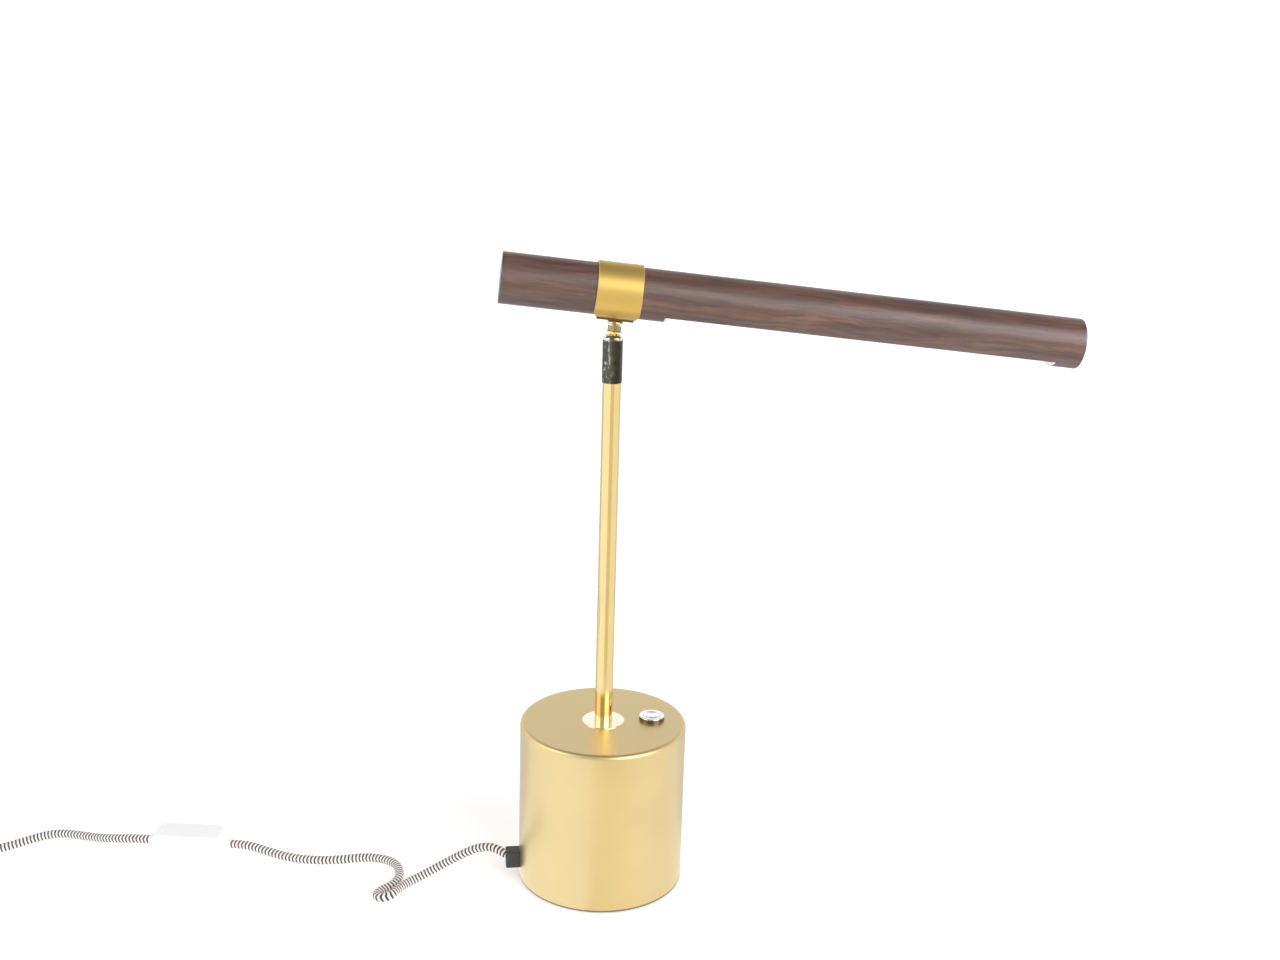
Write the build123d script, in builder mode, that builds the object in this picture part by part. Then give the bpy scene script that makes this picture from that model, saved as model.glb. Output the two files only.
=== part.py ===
from build123d import *
import math
import os

os.makedirs("parts", exist_ok=True)

# ---------------------------------------------------------------- dimensions (mm)
# Frame: origin on the table under the centre of the base, +Z up, +X along the
# head towards its long end.

BASE_D = 120.0          # drum base
BASE_TOP = 122.4
SHELL_WALL = 1.5
DECK_T = 2.0
SHELL_BOTTOM = 1.2      # the shell stands clear of the table on its pad
RIM_R = 3.0
BASE_TURN = 3.0         # degrees: line from cord grip to button, under the head

PAD_D = 113.0
PAD_T = 1.5
PLATE_D = 116.6
PLATE_T = 2.0
BALLAST_D = 114.0
BALLAST_T = 24.0
PLATE_SCREW_PCD = 80.0

ROD_D = 10.0
ROD_BORE = 6.0
POLE_D = 12.7
POLE_BORE = 10.06
POLE_TOP = 384.0
POLE_NECK = 5.85        # the pole is turned down under the sleeve
FLANGE_D = 30.6
FLANGE_T = 0.6

BALL_Z = 402.2          # centre of the ball joint
BALL_R = 5.2
SLEEVE_R = 6.95
SLEEVE_BOTTOM = 373.5
SLEEVE_TOP = 406.2
SEAT_R = 5.30           # spherical seat in the sleeve
SLEEVE_BORE = 6.15
MOUTH_R = 4.25
LINER_IN = 5.28
LINER_OUT = 5.98
CUP_R = 6.06

HEAD_TILT = 5.79        # degrees, long end down, as the lamp stands
HEAD_H = 34.1           # ball centre to tube axis
TUBE_R = 17.4
TUBE_IN = 16.0
HEAD_X0 = -79.9         # ends of the head, from the band's centre
HEAD_X1 = 322.0
CAP_T = 1.0
BAND_R = 18.95
BAND_IN = 17.45
BAND_W = 30.6
BAND_X = -0.8           # middle of the band along the head, from the stud
SLOT_X0 = 31.6
SLOT_X1 = 304.8
SLOT_HALF = 11.7

SWITCH_R = 35.5         # switch axis from the base's axis
BEZEL_R = 9.25
BEZEL_T = 3.0
BARREL_R = 8.0
BUTTON_R = 6.03
BUTTON_BORE = 6.10

CORD_D = 6.2
CORD_R = CORD_D / 2
GRIP_OUT = 70.0         # outer face of the cord grip from the base's axis
GRIP_Z = 17.0           # cord axis in the grip
NECK_Z = 15.8           # middle of the grip's neck in the shell's wall

UNIT_HALF = 25.4        # in-line unit, half length of its case
UNIT_END = 31.0         # outer ends of its two sleeves
UNIT_W = 24.0
UNIT_H = 19.0
UNIT_CENTRE = (-304.667, 37.565)
UNIT_DIR = (-64.5, 9.6)

COIL_CENTRE = (-501.0, 59.3)
COIL_OUT = 43.6
COIL_IN = 18.5
COIL_H = 12.4

# ---------------------------------------------------------------- frames
TILT = math.radians(HEAD_TILT)
HX = Vector(math.cos(TILT), 0, -math.sin(TILT))
HZ = Vector(math.sin(TILT), 0, math.cos(TILT))
HY = Vector(0, 1, 0)
BALL = Vector(0, 0, BALL_Z)
HEAD = Plane(origin=BALL, x_dir=HX, z_dir=HZ)                 # along the stud
HEAD_XZ = Plane(origin=BALL, x_dir=HX, z_dir=-HY)             # (along head, up stud)
HEAD_MID = BALL + HZ * HEAD_H                                 # on the tube's axis
TUBE_XZ = Plane(origin=HEAD_MID, x_dir=HX, z_dir=-HY)         # (along head, up)
BAND_XZ = Plane(origin=HEAD_MID + HX * BAND_X, x_dir=HX, z_dir=-HY)
TUBE_YZ = Plane(origin=HEAD_MID, x_dir=HY, z_dir=HX)          # (across, up)
STUD_AXIS = Axis(BALL, HZ)
TUBE_AXIS = Axis(HEAD_MID, HX)


def section_at(x):
    """Cross-section plane of the head at x along its axis."""
    return Plane(origin=HEAD_MID + HX * x, x_dir=HY, z_dir=HX)


TURN = math.radians(BASE_TURN)
SWITCH_X = SWITCH_R * math.cos(TURN)
SWITCH_Y = SWITCH_R * math.sin(TURN)
GRIP_DIR = Vector(-math.cos(TURN), -math.sin(TURN), 0)
GRIP = Plane(origin=(0, 0, GRIP_Z), x_dir=GRIP_DIR, z_dir=(0, 0, 1))
GRIP_END = Plane(origin=Vector(0, 0, GRIP_Z) + GRIP_DIR * GRIP_OUT,
                 x_dir=(-GRIP_DIR.Y, GRIP_DIR.X, 0), z_dir=GRIP_DIR)
unit_len = math.hypot(*UNIT_DIR)
UX = Vector(UNIT_DIR[0] / unit_len, UNIT_DIR[1] / unit_len, 0)
UNIT = Plane(origin=(UNIT_CENTRE[0], UNIT_CENTRE[1], 0), x_dir=UX, z_dir=(0, 0, 1))
UNIT_AXIS = Axis(Vector(UNIT_CENTRE[0], UNIT_CENTRE[1], UNIT_H / 2), UX)
UNIT_XZ = Plane(origin=(UNIT_CENTRE[0], UNIT_CENTRE[1], UNIT_H / 2), x_dir=UX,
                z_dir=Vector(UX.Y, -UX.X, 0))


def arc_radii(points):
    """Radius of each corner of a cord route: as large as its two runs allow."""
    found = []
    for a, b, c in zip(points, points[1:], points[2:]):
        u, v = Vector(*b) - Vector(*a), Vector(*c) - Vector(*b)
        half = math.radians(u.get_angle(v)) / 2
        found.append(0.45 * min(u.length, v.length) / math.tan(half))
    return found


# ================================================================ base

with BuildPart() as foot_pad:
    with BuildSketch(Plane.XY):
        Circle(PAD_D / 2)
    extrude(amount=PAD_T)
    chamfer(foot_pad.faces().sort_by(Axis.Z)[0].edges(), 0.3)

with BuildPart() as base_plate:
    with BuildSketch(Plane.XY.offset(PAD_T)):
        Circle(PLATE_D / 2)
    extrude(amount=PLATE_T)
    with Locations(Plane(origin=(0, 0, PAD_T), x_dir=(1, 0, 0), z_dir=(0, 0, -1))):
        with PolarLocations(PLATE_SCREW_PCD / 2, 3, start_angle=270):
            CounterSinkHole(2.1, 4.1, depth=10)

PLATE_TOP = PAD_T + PLATE_T
with BuildPart() as base_plate_screws:
    for angle in (90, 210, 330):
        centre = Vector(PLATE_SCREW_PCD / 2 * math.cos(math.radians(angle)),
                        PLATE_SCREW_PCD / 2 * math.sin(math.radians(angle)), 0)
        with BuildSketch(Plane(origin=centre, x_dir=(1, 0, 0), z_dir=(0, -1, 0))):
            with BuildLine():
                Polyline((0, PAD_T), (3.95, PAD_T), (2.0, PAD_T + 1.95), (2.0, 15.5), (0, 16.5), close=True)
            make_face()
        revolve(axis=Axis(centre, (0, 0, 1)))

BALLAST_TOP = PLATE_TOP + BALLAST_T
with BuildPart() as ballast:
    with BuildSketch(Plane.XY.offset(PLATE_TOP)):
        Circle(BALLAST_D / 2)
    extrude(amount=BALLAST_T)
    fillet(ballast.edges().filter_by(GeomType.CIRCLE).group_by(Axis.Z)[-1], 2.0)
    with Locations((0, 0, PLATE_TOP)):
        Cylinder(ROD_D / 2 + 0.3, BALLAST_T, align=(Align.CENTER, Align.CENTER, Align.MIN),
                 mode=Mode.SUBTRACT)
        Cylinder(13.0, 9.0, align=(Align.CENTER, Align.CENTER, Align.MIN), mode=Mode.SUBTRACT)
        with PolarLocations(PLATE_SCREW_PCD / 2, 3, start_angle=90):
            Cylinder(2.04, 14.5, align=(Align.CENTER, Align.CENTER, Align.MIN), mode=Mode.SUBTRACT)
    # bay for the cord grip and the cord's tail
    with BuildSketch(Plane(origin=(0, 0, PLATE_TOP), x_dir=GRIP_DIR, z_dir=(0, 0, 1))):
        with Locations((50.0, 0)):
            RectangleRounded(24.0, 34.0, 3.0)
    extrude(amount=BALLAST_T, mode=Mode.SUBTRACT)

with BuildPart() as base_shell:
    with BuildSketch(Plane.XZ):
        with BuildLine():
            Polyline((BASE_D / 2 - SHELL_WALL, SHELL_BOTTOM), (BASE_D / 2, SHELL_BOTTOM),
                     (BASE_D / 2, BASE_TOP - RIM_R))
            CenterArc((BASE_D / 2 - RIM_R, BASE_TOP - RIM_R), RIM_R, 0, 90)
            Polyline((BASE_D / 2 - RIM_R, BASE_TOP), (0, BASE_TOP), (0, BASE_TOP - DECK_T),
                     (BASE_D / 2 - SHELL_WALL - 2.5, BASE_TOP - DECK_T))
            CenterArc((BASE_D / 2 - SHELL_WALL - 2.5, BASE_TOP - DECK_T - 2.5), 2.5, 90, -90)
            Line((BASE_D / 2 - SHELL_WALL, BASE_TOP - DECK_T - 2.5),
                 (BASE_D / 2 - SHELL_WALL, SHELL_BOTTOM))
        make_face()
    revolve(axis=Axis.Z)
    with Locations((0, 0, BASE_TOP)):
        Hole(ROD_D / 2 + 0.2, depth=10)
    with Locations((SWITCH_X, SWITCH_Y, BASE_TOP)):
        Hole(BARREL_R + 0.15, depth=10)
    with BuildSketch(Plane(origin=Vector(0, 0, NECK_Z) + GRIP_DIR * 50, x_dir=(-GRIP_DIR.Y, GRIP_DIR.X, 0),
                           z_dir=GRIP_DIR)):
        Rectangle(9.0, 10.0)
    extrude(amount=15, mode=Mode.SUBTRACT)

ROD_Z0, ROD_Z1 = 5.5, 138.0
WIRE_SLOT_Z = 58.0
with BuildPart() as tie_rod:
    with BuildSketch(Plane.XY.offset(ROD_Z0)):
        Circle(ROD_D / 2)
        Circle(ROD_BORE / 2, mode=Mode.SUBTRACT)
    extrude(amount=ROD_Z1 - ROD_Z0)
    # slot where the lead enters the rod
    with BuildSketch(Plane(origin=(0, 0, WIRE_SLOT_Z), x_dir=(0, 1, 0), z_dir=(-1, 0, 0))):
        SlotOverall(20.0, 4.4, rotation=90)
    extrude(amount=10, mode=Mode.SUBTRACT)

NUT_T = 5.0
WASHER_T = 1.5
with BuildPart() as rod_nuts:
    for z in (6.0, BALLAST_TOP + WASHER_T, BASE_TOP - DECK_T - WASHER_T - NUT_T):
        with BuildSketch(Plane.XY.offset(z)):
            RegularPolygon(8.0, 6, major_radius=False)
            Circle(ROD_D / 2 + 0.03, mode=Mode.SUBTRACT)
        extrude(amount=NUT_T)

with BuildPart() as rod_washers:
    for z in (11.0, BALLAST_TOP, BASE_TOP - DECK_T - WASHER_T):
        with BuildSketch(Plane.XY.offset(z)):
            Circle(11.0)
            Circle(ROD_D / 2 + 0.1, mode=Mode.SUBTRACT)
        extrude(amount=WASHER_T)

# ================================================================ pole and flange

SCREW_Z = 378.6
with BuildPart() as pole:
    with BuildSketch(Plane.XY.offset(BASE_TOP)):
        Circle(POLE_D / 2)
        Circle(POLE_BORE / 2, mode=Mode.SUBTRACT)
    extrude(amount=POLE_TOP - BASE_TOP)
    with BuildSketch(Plane.XY.offset(SLEEVE_BOTTOM - 0.05)):
        Circle(POLE_D / 2 + 1)
        Circle(POLE_NECK, mode=Mode.SUBTRACT)
    extrude(amount=20, mode=Mode.SUBTRACT)
    with BuildSketch(Plane(origin=(0, 0, SCREW_Z), x_dir=(-1, 0, 0), z_dir=(0, 1, 0))):
        Circle(1.53)
    extrude(amount=10, mode=Mode.SUBTRACT)

with BuildPart() as pole_flange:
    with BuildSketch(Plane.XZ):
        with BuildLine():
            Polyline((POLE_D / 2 + 0.05, BASE_TOP), (FLANGE_D / 2, BASE_TOP),
                     (FLANGE_D / 2, BASE_TOP + FLANGE_T - 0.2),
                     (FLANGE_D / 2 - 0.2, BASE_TOP + FLANGE_T),
                     (POLE_D / 2 + 0.05, BASE_TOP + FLANGE_T), close=True)
        make_face()
    revolve(axis=Axis.Z)

# ================================================================ ball joint

SPIGOT_TOP = 388.7
with BuildPart() as joint_spigot:
    with BuildSketch(Plane.XZ):
        with BuildLine():
            Polyline((2.2, 370.0), (5.0, 370.0), (5.0, POLE_TOP), (6.1, POLE_TOP),
                     (6.1, SPIGOT_TOP), (2.2, SPIGOT_TOP), close=True)
        make_face()
    revolve(axis=Axis.Z)

mouth_in = math.sqrt(SEAT_R ** 2 - MOUTH_R ** 2)
step_r = math.sqrt(SEAT_R ** 2 - 1.0)
with BuildPart() as joint_sleeve:
    with BuildSketch(Plane.XZ):
        with BuildLine():
            Polyline((POLE_NECK + 0.05, SLEEVE_BOTTOM), (SLEEVE_R - 0.25, SLEEVE_BOTTOM),
                     (SLEEVE_R, SLEEVE_BOTTOM + 0.25), (SLEEVE_R, BALL_Z + 0.8))
            ThreePointArc((SLEEVE_R, BALL_Z + 0.8), (6.55, BALL_Z + 2.7), (5.4, SLEEVE_TOP - 0.1))
            Polyline((5.4, SLEEVE_TOP - 0.1), (5.0, SLEEVE_TOP), (MOUTH_R, SLEEVE_TOP - 0.2),
                     (MOUTH_R, BALL_Z + mouth_in))
            ThreePointArc((MOUTH_R, BALL_Z + mouth_in),
                          (SEAT_R * math.cos(math.radians(20)), BALL_Z + SEAT_R * math.sin(math.radians(20))),
                          (step_r, BALL_Z - 1.0))
            Polyline((step_r, BALL_Z - 1.0), (SLEEVE_BORE, BALL_Z - 1.0), (SLEEVE_BORE, POLE_TOP - 0.1),
                     (POLE_NECK + 0.05, POLE_TOP - 0.1), (POLE_NECK + 0.05, SLEEVE_BOTTOM))
        make_face()
    revolve(axis=Axis.Z)
    with BuildSketch(Plane(origin=(0, 0, SCREW_Z), x_dir=(-1, 0, 0), z_dir=(0, 1, 0))):
        Circle(1.53)
    extrude(amount=10, mode=Mode.SUBTRACT)

with BuildPart() as sleeve_set_screw:
    with BuildSketch(Plane(origin=(0, 5.1, SCREW_Z), x_dir=(-1, 0, 0), z_dir=(0, 1, 0))):
        Circle(1.5)
    extrude(amount=1.6)
    with BuildSketch(Plane(origin=(0, 6.7, SCREW_Z), x_dir=(-1, 0, 0), z_dir=(0, -1, 0))):
        RegularPolygon(0.75, 6, major_radius=False)
    extrude(amount=1.0, mode=Mode.SUBTRACT)

with BuildPart() as joint_spring_washers:
    for k in range(4):
        z = SPIGOT_TOP + k
        lift_in, lift_out = (0.4, 0.0) if k % 2 == 0 else (0.0, 0.4)
        with BuildSketch(Plane.XZ):
            with BuildLine():
                Polyline((2.6, z + lift_in), (5.6, z + lift_out), (5.6, z + lift_out + 0.6),
                         (2.6, z + lift_in + 0.6), close=True)
            make_face()
        revolve(axis=Axis.Z)

SEAT_BOTTOM = SPIGOT_TOP + 4.0
cup_rim = math.sqrt(CUP_R ** 2 - 2.6 ** 2)
cup_hole = math.sqrt(CUP_R ** 2 - 2.4 ** 2)
with BuildPart() as ball_seat:
    with BuildSketch(Plane.XZ):
        with BuildLine():
            Polyline((2.4, BALL_Z - cup_hole), (2.4, SEAT_BOTTOM), (6.05, SEAT_BOTTOM),
                     (6.05, BALL_Z - 2.6), (cup_rim, BALL_Z - 2.6))
            ThreePointArc((cup_rim, BALL_Z - 2.6),
                          (CUP_R * math.sin(math.radians(45)), BALL_Z - CUP_R * math.cos(math.radians(45))),
                          (2.4, BALL_Z - cup_hole))
        make_face()
    revolve(axis=Axis.Z)

lat = math.radians(24)
with BuildPart() as ball_liner:
    with BuildSketch(Plane.XZ):
        with BuildLine():
            ThreePointArc((2.3, BALL_Z - math.sqrt(LINER_IN ** 2 - 2.3 ** 2)),
                          (LINER_IN * math.sin(math.radians(45)), BALL_Z - LINER_IN * math.cos(math.radians(45))),
                          (LINER_IN * math.cos(lat), BALL_Z - LINER_IN * math.sin(lat)))
            Line((LINER_IN * math.cos(lat), BALL_Z - LINER_IN * math.sin(lat)),
                 (LINER_OUT * math.cos(lat), BALL_Z - LINER_OUT * math.sin(lat)))
            ThreePointArc((LINER_OUT * math.cos(lat), BALL_Z - LINER_OUT * math.sin(lat)),
                          (LINER_OUT * math.sin(math.radians(45)), BALL_Z - LINER_OUT * math.cos(math.radians(45))),
                          (2.3, BALL_Z - math.sqrt(LINER_OUT ** 2 - 2.3 ** 2)))
            Line((2.3, BALL_Z - math.sqrt(LINER_OUT ** 2 - 2.3 ** 2)),
                 (2.3, BALL_Z - math.sqrt(LINER_IN ** 2 - 2.3 ** 2)))
        make_face()
    revolve(axis=Axis.Z)

STUD_TOP = 25.2
BAR_BOTTOM = HEAD_H - 19.6
with BuildPart() as ball_stud:
    with BuildSketch(HEAD_XZ):
        with BuildLine():
            ThreePointArc((1.5, -math.sqrt(BALL_R ** 2 - 1.5 ** 2)), (BALL_R, 0),
                          (2.5, math.sqrt(BALL_R ** 2 - 2.5 ** 2)))
            Polyline((2.5, math.sqrt(BALL_R ** 2 - 2.5 ** 2)), (2.5, 5.5), (3.6, 5.5), (5.2, 5.9),
                     (5.3, 6.3), (5.3, 6.8), (4.6, 7.3), (4.6, 10.4), (5.0, 10.8), (5.0, 11.6), (5.6, 12.2), (5.6, 12.6))
            ThreePointArc((5.6, 12.6), (5.2, 13.7), (4.5, BAR_BOTTOM - 0.05))
            Polyline((4.5, BAR_BOTTOM - 0.05), (2.5, BAR_BOTTOM - 0.05), (2.5, STUD_TOP), (1.5, STUD_TOP),
                     (1.5, -math.sqrt(BALL_R ** 2 - 1.5 ** 2)))
        make_face()
    revolve(axis=STUD_AXIS)

# ================================================================ head

with BuildPart() as head_plate:
    # bar hollowed to lie against the underside of the band
    with BuildSketch(section_at(BAND_X - 12.5)):
        with Locations((0, -18.7)):
            Rectangle(10.0, 1.8)
        Circle(BAND_R + 0.02, mode=Mode.SUBTRACT)
    extrude(amount=25.0)
    with Locations(HEAD):
        Cylinder(2.53, HEAD_H, align=(Align.CENTER, Align.CENTER, Align.MIN), mode=Mode.SUBTRACT)

with BuildPart() as clamp_band:
    with BuildSketch(BAND_XZ):
        with BuildLine():
            Polyline((-BAND_W / 2, BAND_IN), (-BAND_W / 2, BAND_R - 0.35), (-BAND_W / 2 + 0.35, BAND_R),
                     (BAND_W / 2 - 0.35, BAND_R), (BAND_W / 2, BAND_R - 0.35), (BAND_W / 2, BAND_IN),
                     close=True)
        make_face()
    revolve(axis=TUBE_AXIS)
    # the band narrows towards the bar under it
    with BuildSketch(BAND_XZ):
        with BuildLine():
            Polyline((BAND_W / 2 + 1, -12.9), (BAND_W / 2 + 1, -20.5), (11.6, -20.5), close=True)
        make_face()
        mirror(about=Plane.YZ)
    extrude(amount=20, both=True, mode=Mode.SUBTRACT)
    with Locations(HEAD):
        Cylinder(2.55, HEAD_H, align=(Align.CENTER, Align.CENTER, Align.MIN), mode=Mode.SUBTRACT)

with BuildPart() as head_tube:
    with BuildSketch(section_at(HEAD_X0 + CAP_T)):
        Circle(TUBE_R)
        Circle(TUBE_IN, mode=Mode.SUBTRACT)
    extrude(amount=HEAD_X1 - HEAD_X0 - 2 * CAP_T)
    with BuildSketch(section_at(SLOT_X0)):
        with Locations((0, -15.0)):
            Rectangle(2 * SLOT_HALF, 14.0)
    extrude(amount=SLOT_X1 - SLOT_X0, mode=Mode.SUBTRACT)
    with Locations(HEAD):
        Cylinder(2.6, HEAD_H, align=(Align.CENTER, Align.CENTER, Align.MIN), mode=Mode.SUBTRACT)

CARRIER_HALF = 10.0
with BuildPart() as end_cap_left:
    with BuildSketch(section_at(HEAD_X0)):
        Circle(TUBE_R)
    extrude(amount=CAP_T)
    fillet(end_cap_left.faces().sort_by(Axis.X)[0].edges(), 0.45)
    with BuildSketch(section_at(HEAD_X0 + CAP_T)):
        Circle(TUBE_IN - 0.05)
    extrude(amount=7.0)
    with BuildSketch(section_at(HEAD_X0 + CAP_T + 3.0)):
        with Locations((0, -4.5)):
            Rectangle(2 * CARRIER_HALF + 0.2, 6.2)
    extrude(amount=6.0, mode=Mode.SUBTRACT)

with BuildPart() as end_cap_right:
    with BuildSketch(section_at(HEAD_X1 - CAP_T)):
        Circle(TUBE_R)
    extrude(amount=CAP_T)
    fillet(end_cap_right.faces().sort_by(Axis.X)[-1].edges(), 0.45)
    with BuildSketch(section_at(HEAD_X1 - CAP_T - 7.0)):
        Circle(TUBE_IN - 0.05)
    extrude(amount=7.0)
    with BuildSketch(section_at(HEAD_X1 - CAP_T - 9.0)):
        with Locations((0, -4.5)):
            Rectangle(2 * CARRIER_HALF + 0.2, 6.2)
    extrude(amount=6.0, mode=Mode.SUBTRACT)

with BuildPart() as led_carrier:
    with BuildSketch(section_at(HEAD_X0 + CAP_T + 3.0)):
        with Locations((0, -3.0)):
            Rectangle(2 * CARRIER_HALF, 3.0)
        with Locations((-CARRIER_HALF + 0.75, -6.0), (CARRIER_HALF - 0.75, -6.0)):
            Rectangle(1.5, 3.0)
    extrude(amount=HEAD_X1 - HEAD_X0 - 2 * CAP_T - 6.0)

with BuildPart() as led_board:
    with BuildSketch(section_at(36.0)):
        with Locations((0, -5.0)):
            Rectangle(10.0, 1.0)
    extrude(amount=269.0)

with BuildPart() as led_chips:
    for k in range(24):
        with BuildSketch(section_at(44.0 + 11.0 * k - 1.75)):
            with Locations((0, -5.85)):
                Rectangle(2.8, 0.7)
        extrude(amount=3.5)

with BuildPart() as diffuser:
    with BuildSketch(section_at(SLOT_X0 + 0.2)):
        with Locations((0, -8.5)):
            Rectangle(25.2, 2.0)
        with Locations((0, -10.5)):
            Rectangle(2 * SLOT_HALF - 0.4, 2.4)
    extrude(amount=SLOT_X1 - SLOT_X0 - 0.4)
    # end walls down to the tube's outside close the ends of the slot
    for wall_x in (SLOT_X0 + 0.2, SLOT_X1 - 1.7):
        with BuildSketch(section_at(wall_x)):
            Circle(TUBE_R - 0.1)
            with Locations((0, -14.0)):
                Rectangle(2 * SLOT_HALF - 0.4, 9.0, mode=Mode.INTERSECT)
        extrude(amount=1.5)

SADDLE_TOP = 20.6
with BuildPart() as stud_saddle:
    with Locations(HEAD):
        with Locations((0, 0, 17.0)):
            Cylinder(5.5, SADDLE_TOP - 17.0, align=(Align.CENTER, Align.CENTER, Align.MIN))
    with BuildSketch(section_at(-10)):
        Circle(TUBE_IN - 0.05)
    extrude(amount=20, mode=Mode.INTERSECT)
    with Locations(HEAD):
        Cylinder(2.6, 80.0, mode=Mode.SUBTRACT)

with BuildPart() as stud_nut:
    with BuildSketch(HEAD.offset(SADDLE_TOP)):
        RegularPolygon(4.0, 6, major_radius=False)
        Circle(2.53, mode=Mode.SUBTRACT)
    extrude(amount=4.0)

WIRE_R = 1.0
with BuildPart() as head_wire:
    with BuildLine(HEAD_XZ):
        FilletPolyline((0, -4.6), (0, HEAD_H - 6.3), (35.4, HEAD_H - 6.3), radius=2.2)
    with BuildSketch(HEAD.offset(-4.6)):
        Circle(WIRE_R)
    sweep()

# ================================================================ push switch

BARREL_BOTTOM = 103.0
SWITCH_AXIS = Axis((SWITCH_X, SWITCH_Y, 0), (0, 0, 1))
SWITCH_XZ = Plane(origin=(SWITCH_X, SWITCH_Y, 0), x_dir=(1, 0, 0), z_dir=(0, -1, 0))

with BuildPart() as switch_bezel:
    with BuildSketch(SWITCH_XZ):
        with BuildLine():
            Polyline((BUTTON_BORE, BARREL_BOTTOM), (BARREL_R, BARREL_BOTTOM), (BARREL_R, BASE_TOP),
                     (BEZEL_R, BASE_TOP), (BEZEL_R, BASE_TOP + BEZEL_T - 0.9))
            ThreePointArc((BEZEL_R, BASE_TOP + BEZEL_T - 0.9),
                          (BEZEL_R - 0.26, BASE_TOP + BEZEL_T - 0.26), (BEZEL_R - 0.9, BASE_TOP + BEZEL_T))
            Polyline((BEZEL_R - 0.9, BASE_TOP + BEZEL_T), (BUTTON_BORE + 0.5, BASE_TOP + BEZEL_T),
                     (BUTTON_BORE, BASE_TOP + BEZEL_T - 0.5), (BUTTON_BORE, BARREL_BOTTOM))
        make_face()
    revolve(axis=SWITCH_AXIS)

with BuildPart() as switch_nut:
    with BuildSketch(Plane(origin=(SWITCH_X, SWITCH_Y, BASE_TOP - DECK_T - 4.5))):
        RegularPolygon(10.5, 6, major_radius=False)
        Circle(BARREL_R + 0.04, mode=Mode.SUBTRACT)
    extrude(amount=4.5)

with BuildPart() as switch_body:
    with Locations((SWITCH_X, SWITCH_Y, 84.0)):
        Cylinder(7.8, BARREL_BOTTOM - 84.0, align=(Align.CENTER, Align.CENTER, Align.MIN))
    with Locations((SWITCH_X, SWITCH_Y - 3.5, 76.0), (SWITCH_X, SWITCH_Y + 3.5, 76.0)):
        Box(4.8, 0.8, 8.0, align=(Align.CENTER, Align.CENTER, Align.MIN))

BUTTON_TOP = BASE_TOP + BEZEL_T + 0.5
DISH_R = BUTTON_R - 0.9
DISH_T = 0.5
dish_sphere = (DISH_R ** 2 + DISH_T ** 2) / (2 * DISH_T)
dish_half = DISH_T - dish_sphere + math.sqrt(dish_sphere ** 2 - (DISH_R / 2) ** 2)
with BuildPart() as switch_button:
    with BuildSketch(SWITCH_XZ):
        with BuildLine():
            Polyline((0, 106.0), (2.5, 106.0), (2.5, 116.0), (BUTTON_R, 116.0), (BUTTON_R, BUTTON_TOP - 0.5),
                     (BUTTON_R - 0.5, BUTTON_TOP), (DISH_R, BUTTON_TOP))
            ThreePointArc((DISH_R, BUTTON_TOP), (DISH_R / 2, BUTTON_TOP - dish_half), (0, BUTTON_TOP - DISH_T))
            Line((0, BUTTON_TOP - DISH_T), (0, 106.0))
        make_face()
    revolve(axis=SWITCH_AXIS)

SPRING_Z0, SPRING_Z1 = 103.4, 115.6
with BuildPart() as switch_spring:
    with BuildLine(Plane(origin=(SWITCH_X, SWITCH_Y, SPRING_Z0))) as spring_path:
        Helix(pitch=(SPRING_Z1 - SPRING_Z0) / 5, height=SPRING_Z1 - SPRING_Z0, radius=4.2)
    with BuildSketch(Plane(origin=spring_path.line @ 0, z_dir=spring_path.line % 0)):
        Circle(0.35)
    sweep(is_frenet=True)

# ================================================================ cord grip and base wiring

with BuildPart() as cord_grip:
    # block outside the shell
    with BuildSketch(Plane(origin=(0, 0, 8.1), x_dir=GRIP_DIR, z_dir=(0, 0, 1))):
        with Locations((GRIP_OUT, 0)):
            RectangleRounded(26.0, 10.0, 1.2, align=(Align.MAX, Align.CENTER))
    extrude(amount=12.9)
    fillet(cord_grip.faces().sort_by(Axis.Z)[-1].edges(), 0.6)
    fillet(cord_grip.faces().sort_by(Axis.Z)[0].edges(), 0.8)
    with Locations((0, 0, 0)):
        Cylinder(BASE_D / 2 + 0.02, 60.0, align=(Align.CENTER, Align.CENTER, Align.MIN), mode=Mode.SUBTRACT)
    # neck through the wall and shoulder behind it
    with BuildSketch(Plane(origin=Vector(0, 0, NECK_Z) + GRIP_DIR * 54.0,
                           x_dir=(-GRIP_DIR.Y, GRIP_DIR.X, 0), z_dir=GRIP_DIR)):
        Rectangle(8.8, 9.8)
    extrude(amount=8.0)
    with BuildSketch(Plane(origin=Vector(0, 0, GRIP_Z) + GRIP_DIR * 54.0,
                           x_dir=(-GRIP_DIR.Y, GRIP_DIR.X, 0), z_dir=GRIP_DIR)):
        RectangleRounded(13.0, 13.0, 1.0)
    extrude(amount=3.8)
    # cord passage
    with BuildSketch(Plane(origin=Vector(0, 0, GRIP_Z) + GRIP_DIR * 50.0,
                           x_dir=(-GRIP_DIR.Y, GRIP_DIR.X, 0), z_dir=GRIP_DIR)):
        Circle(CORD_R + 0.03)
    extrude(amount=25.0, mode=Mode.SUBTRACT)

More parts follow.
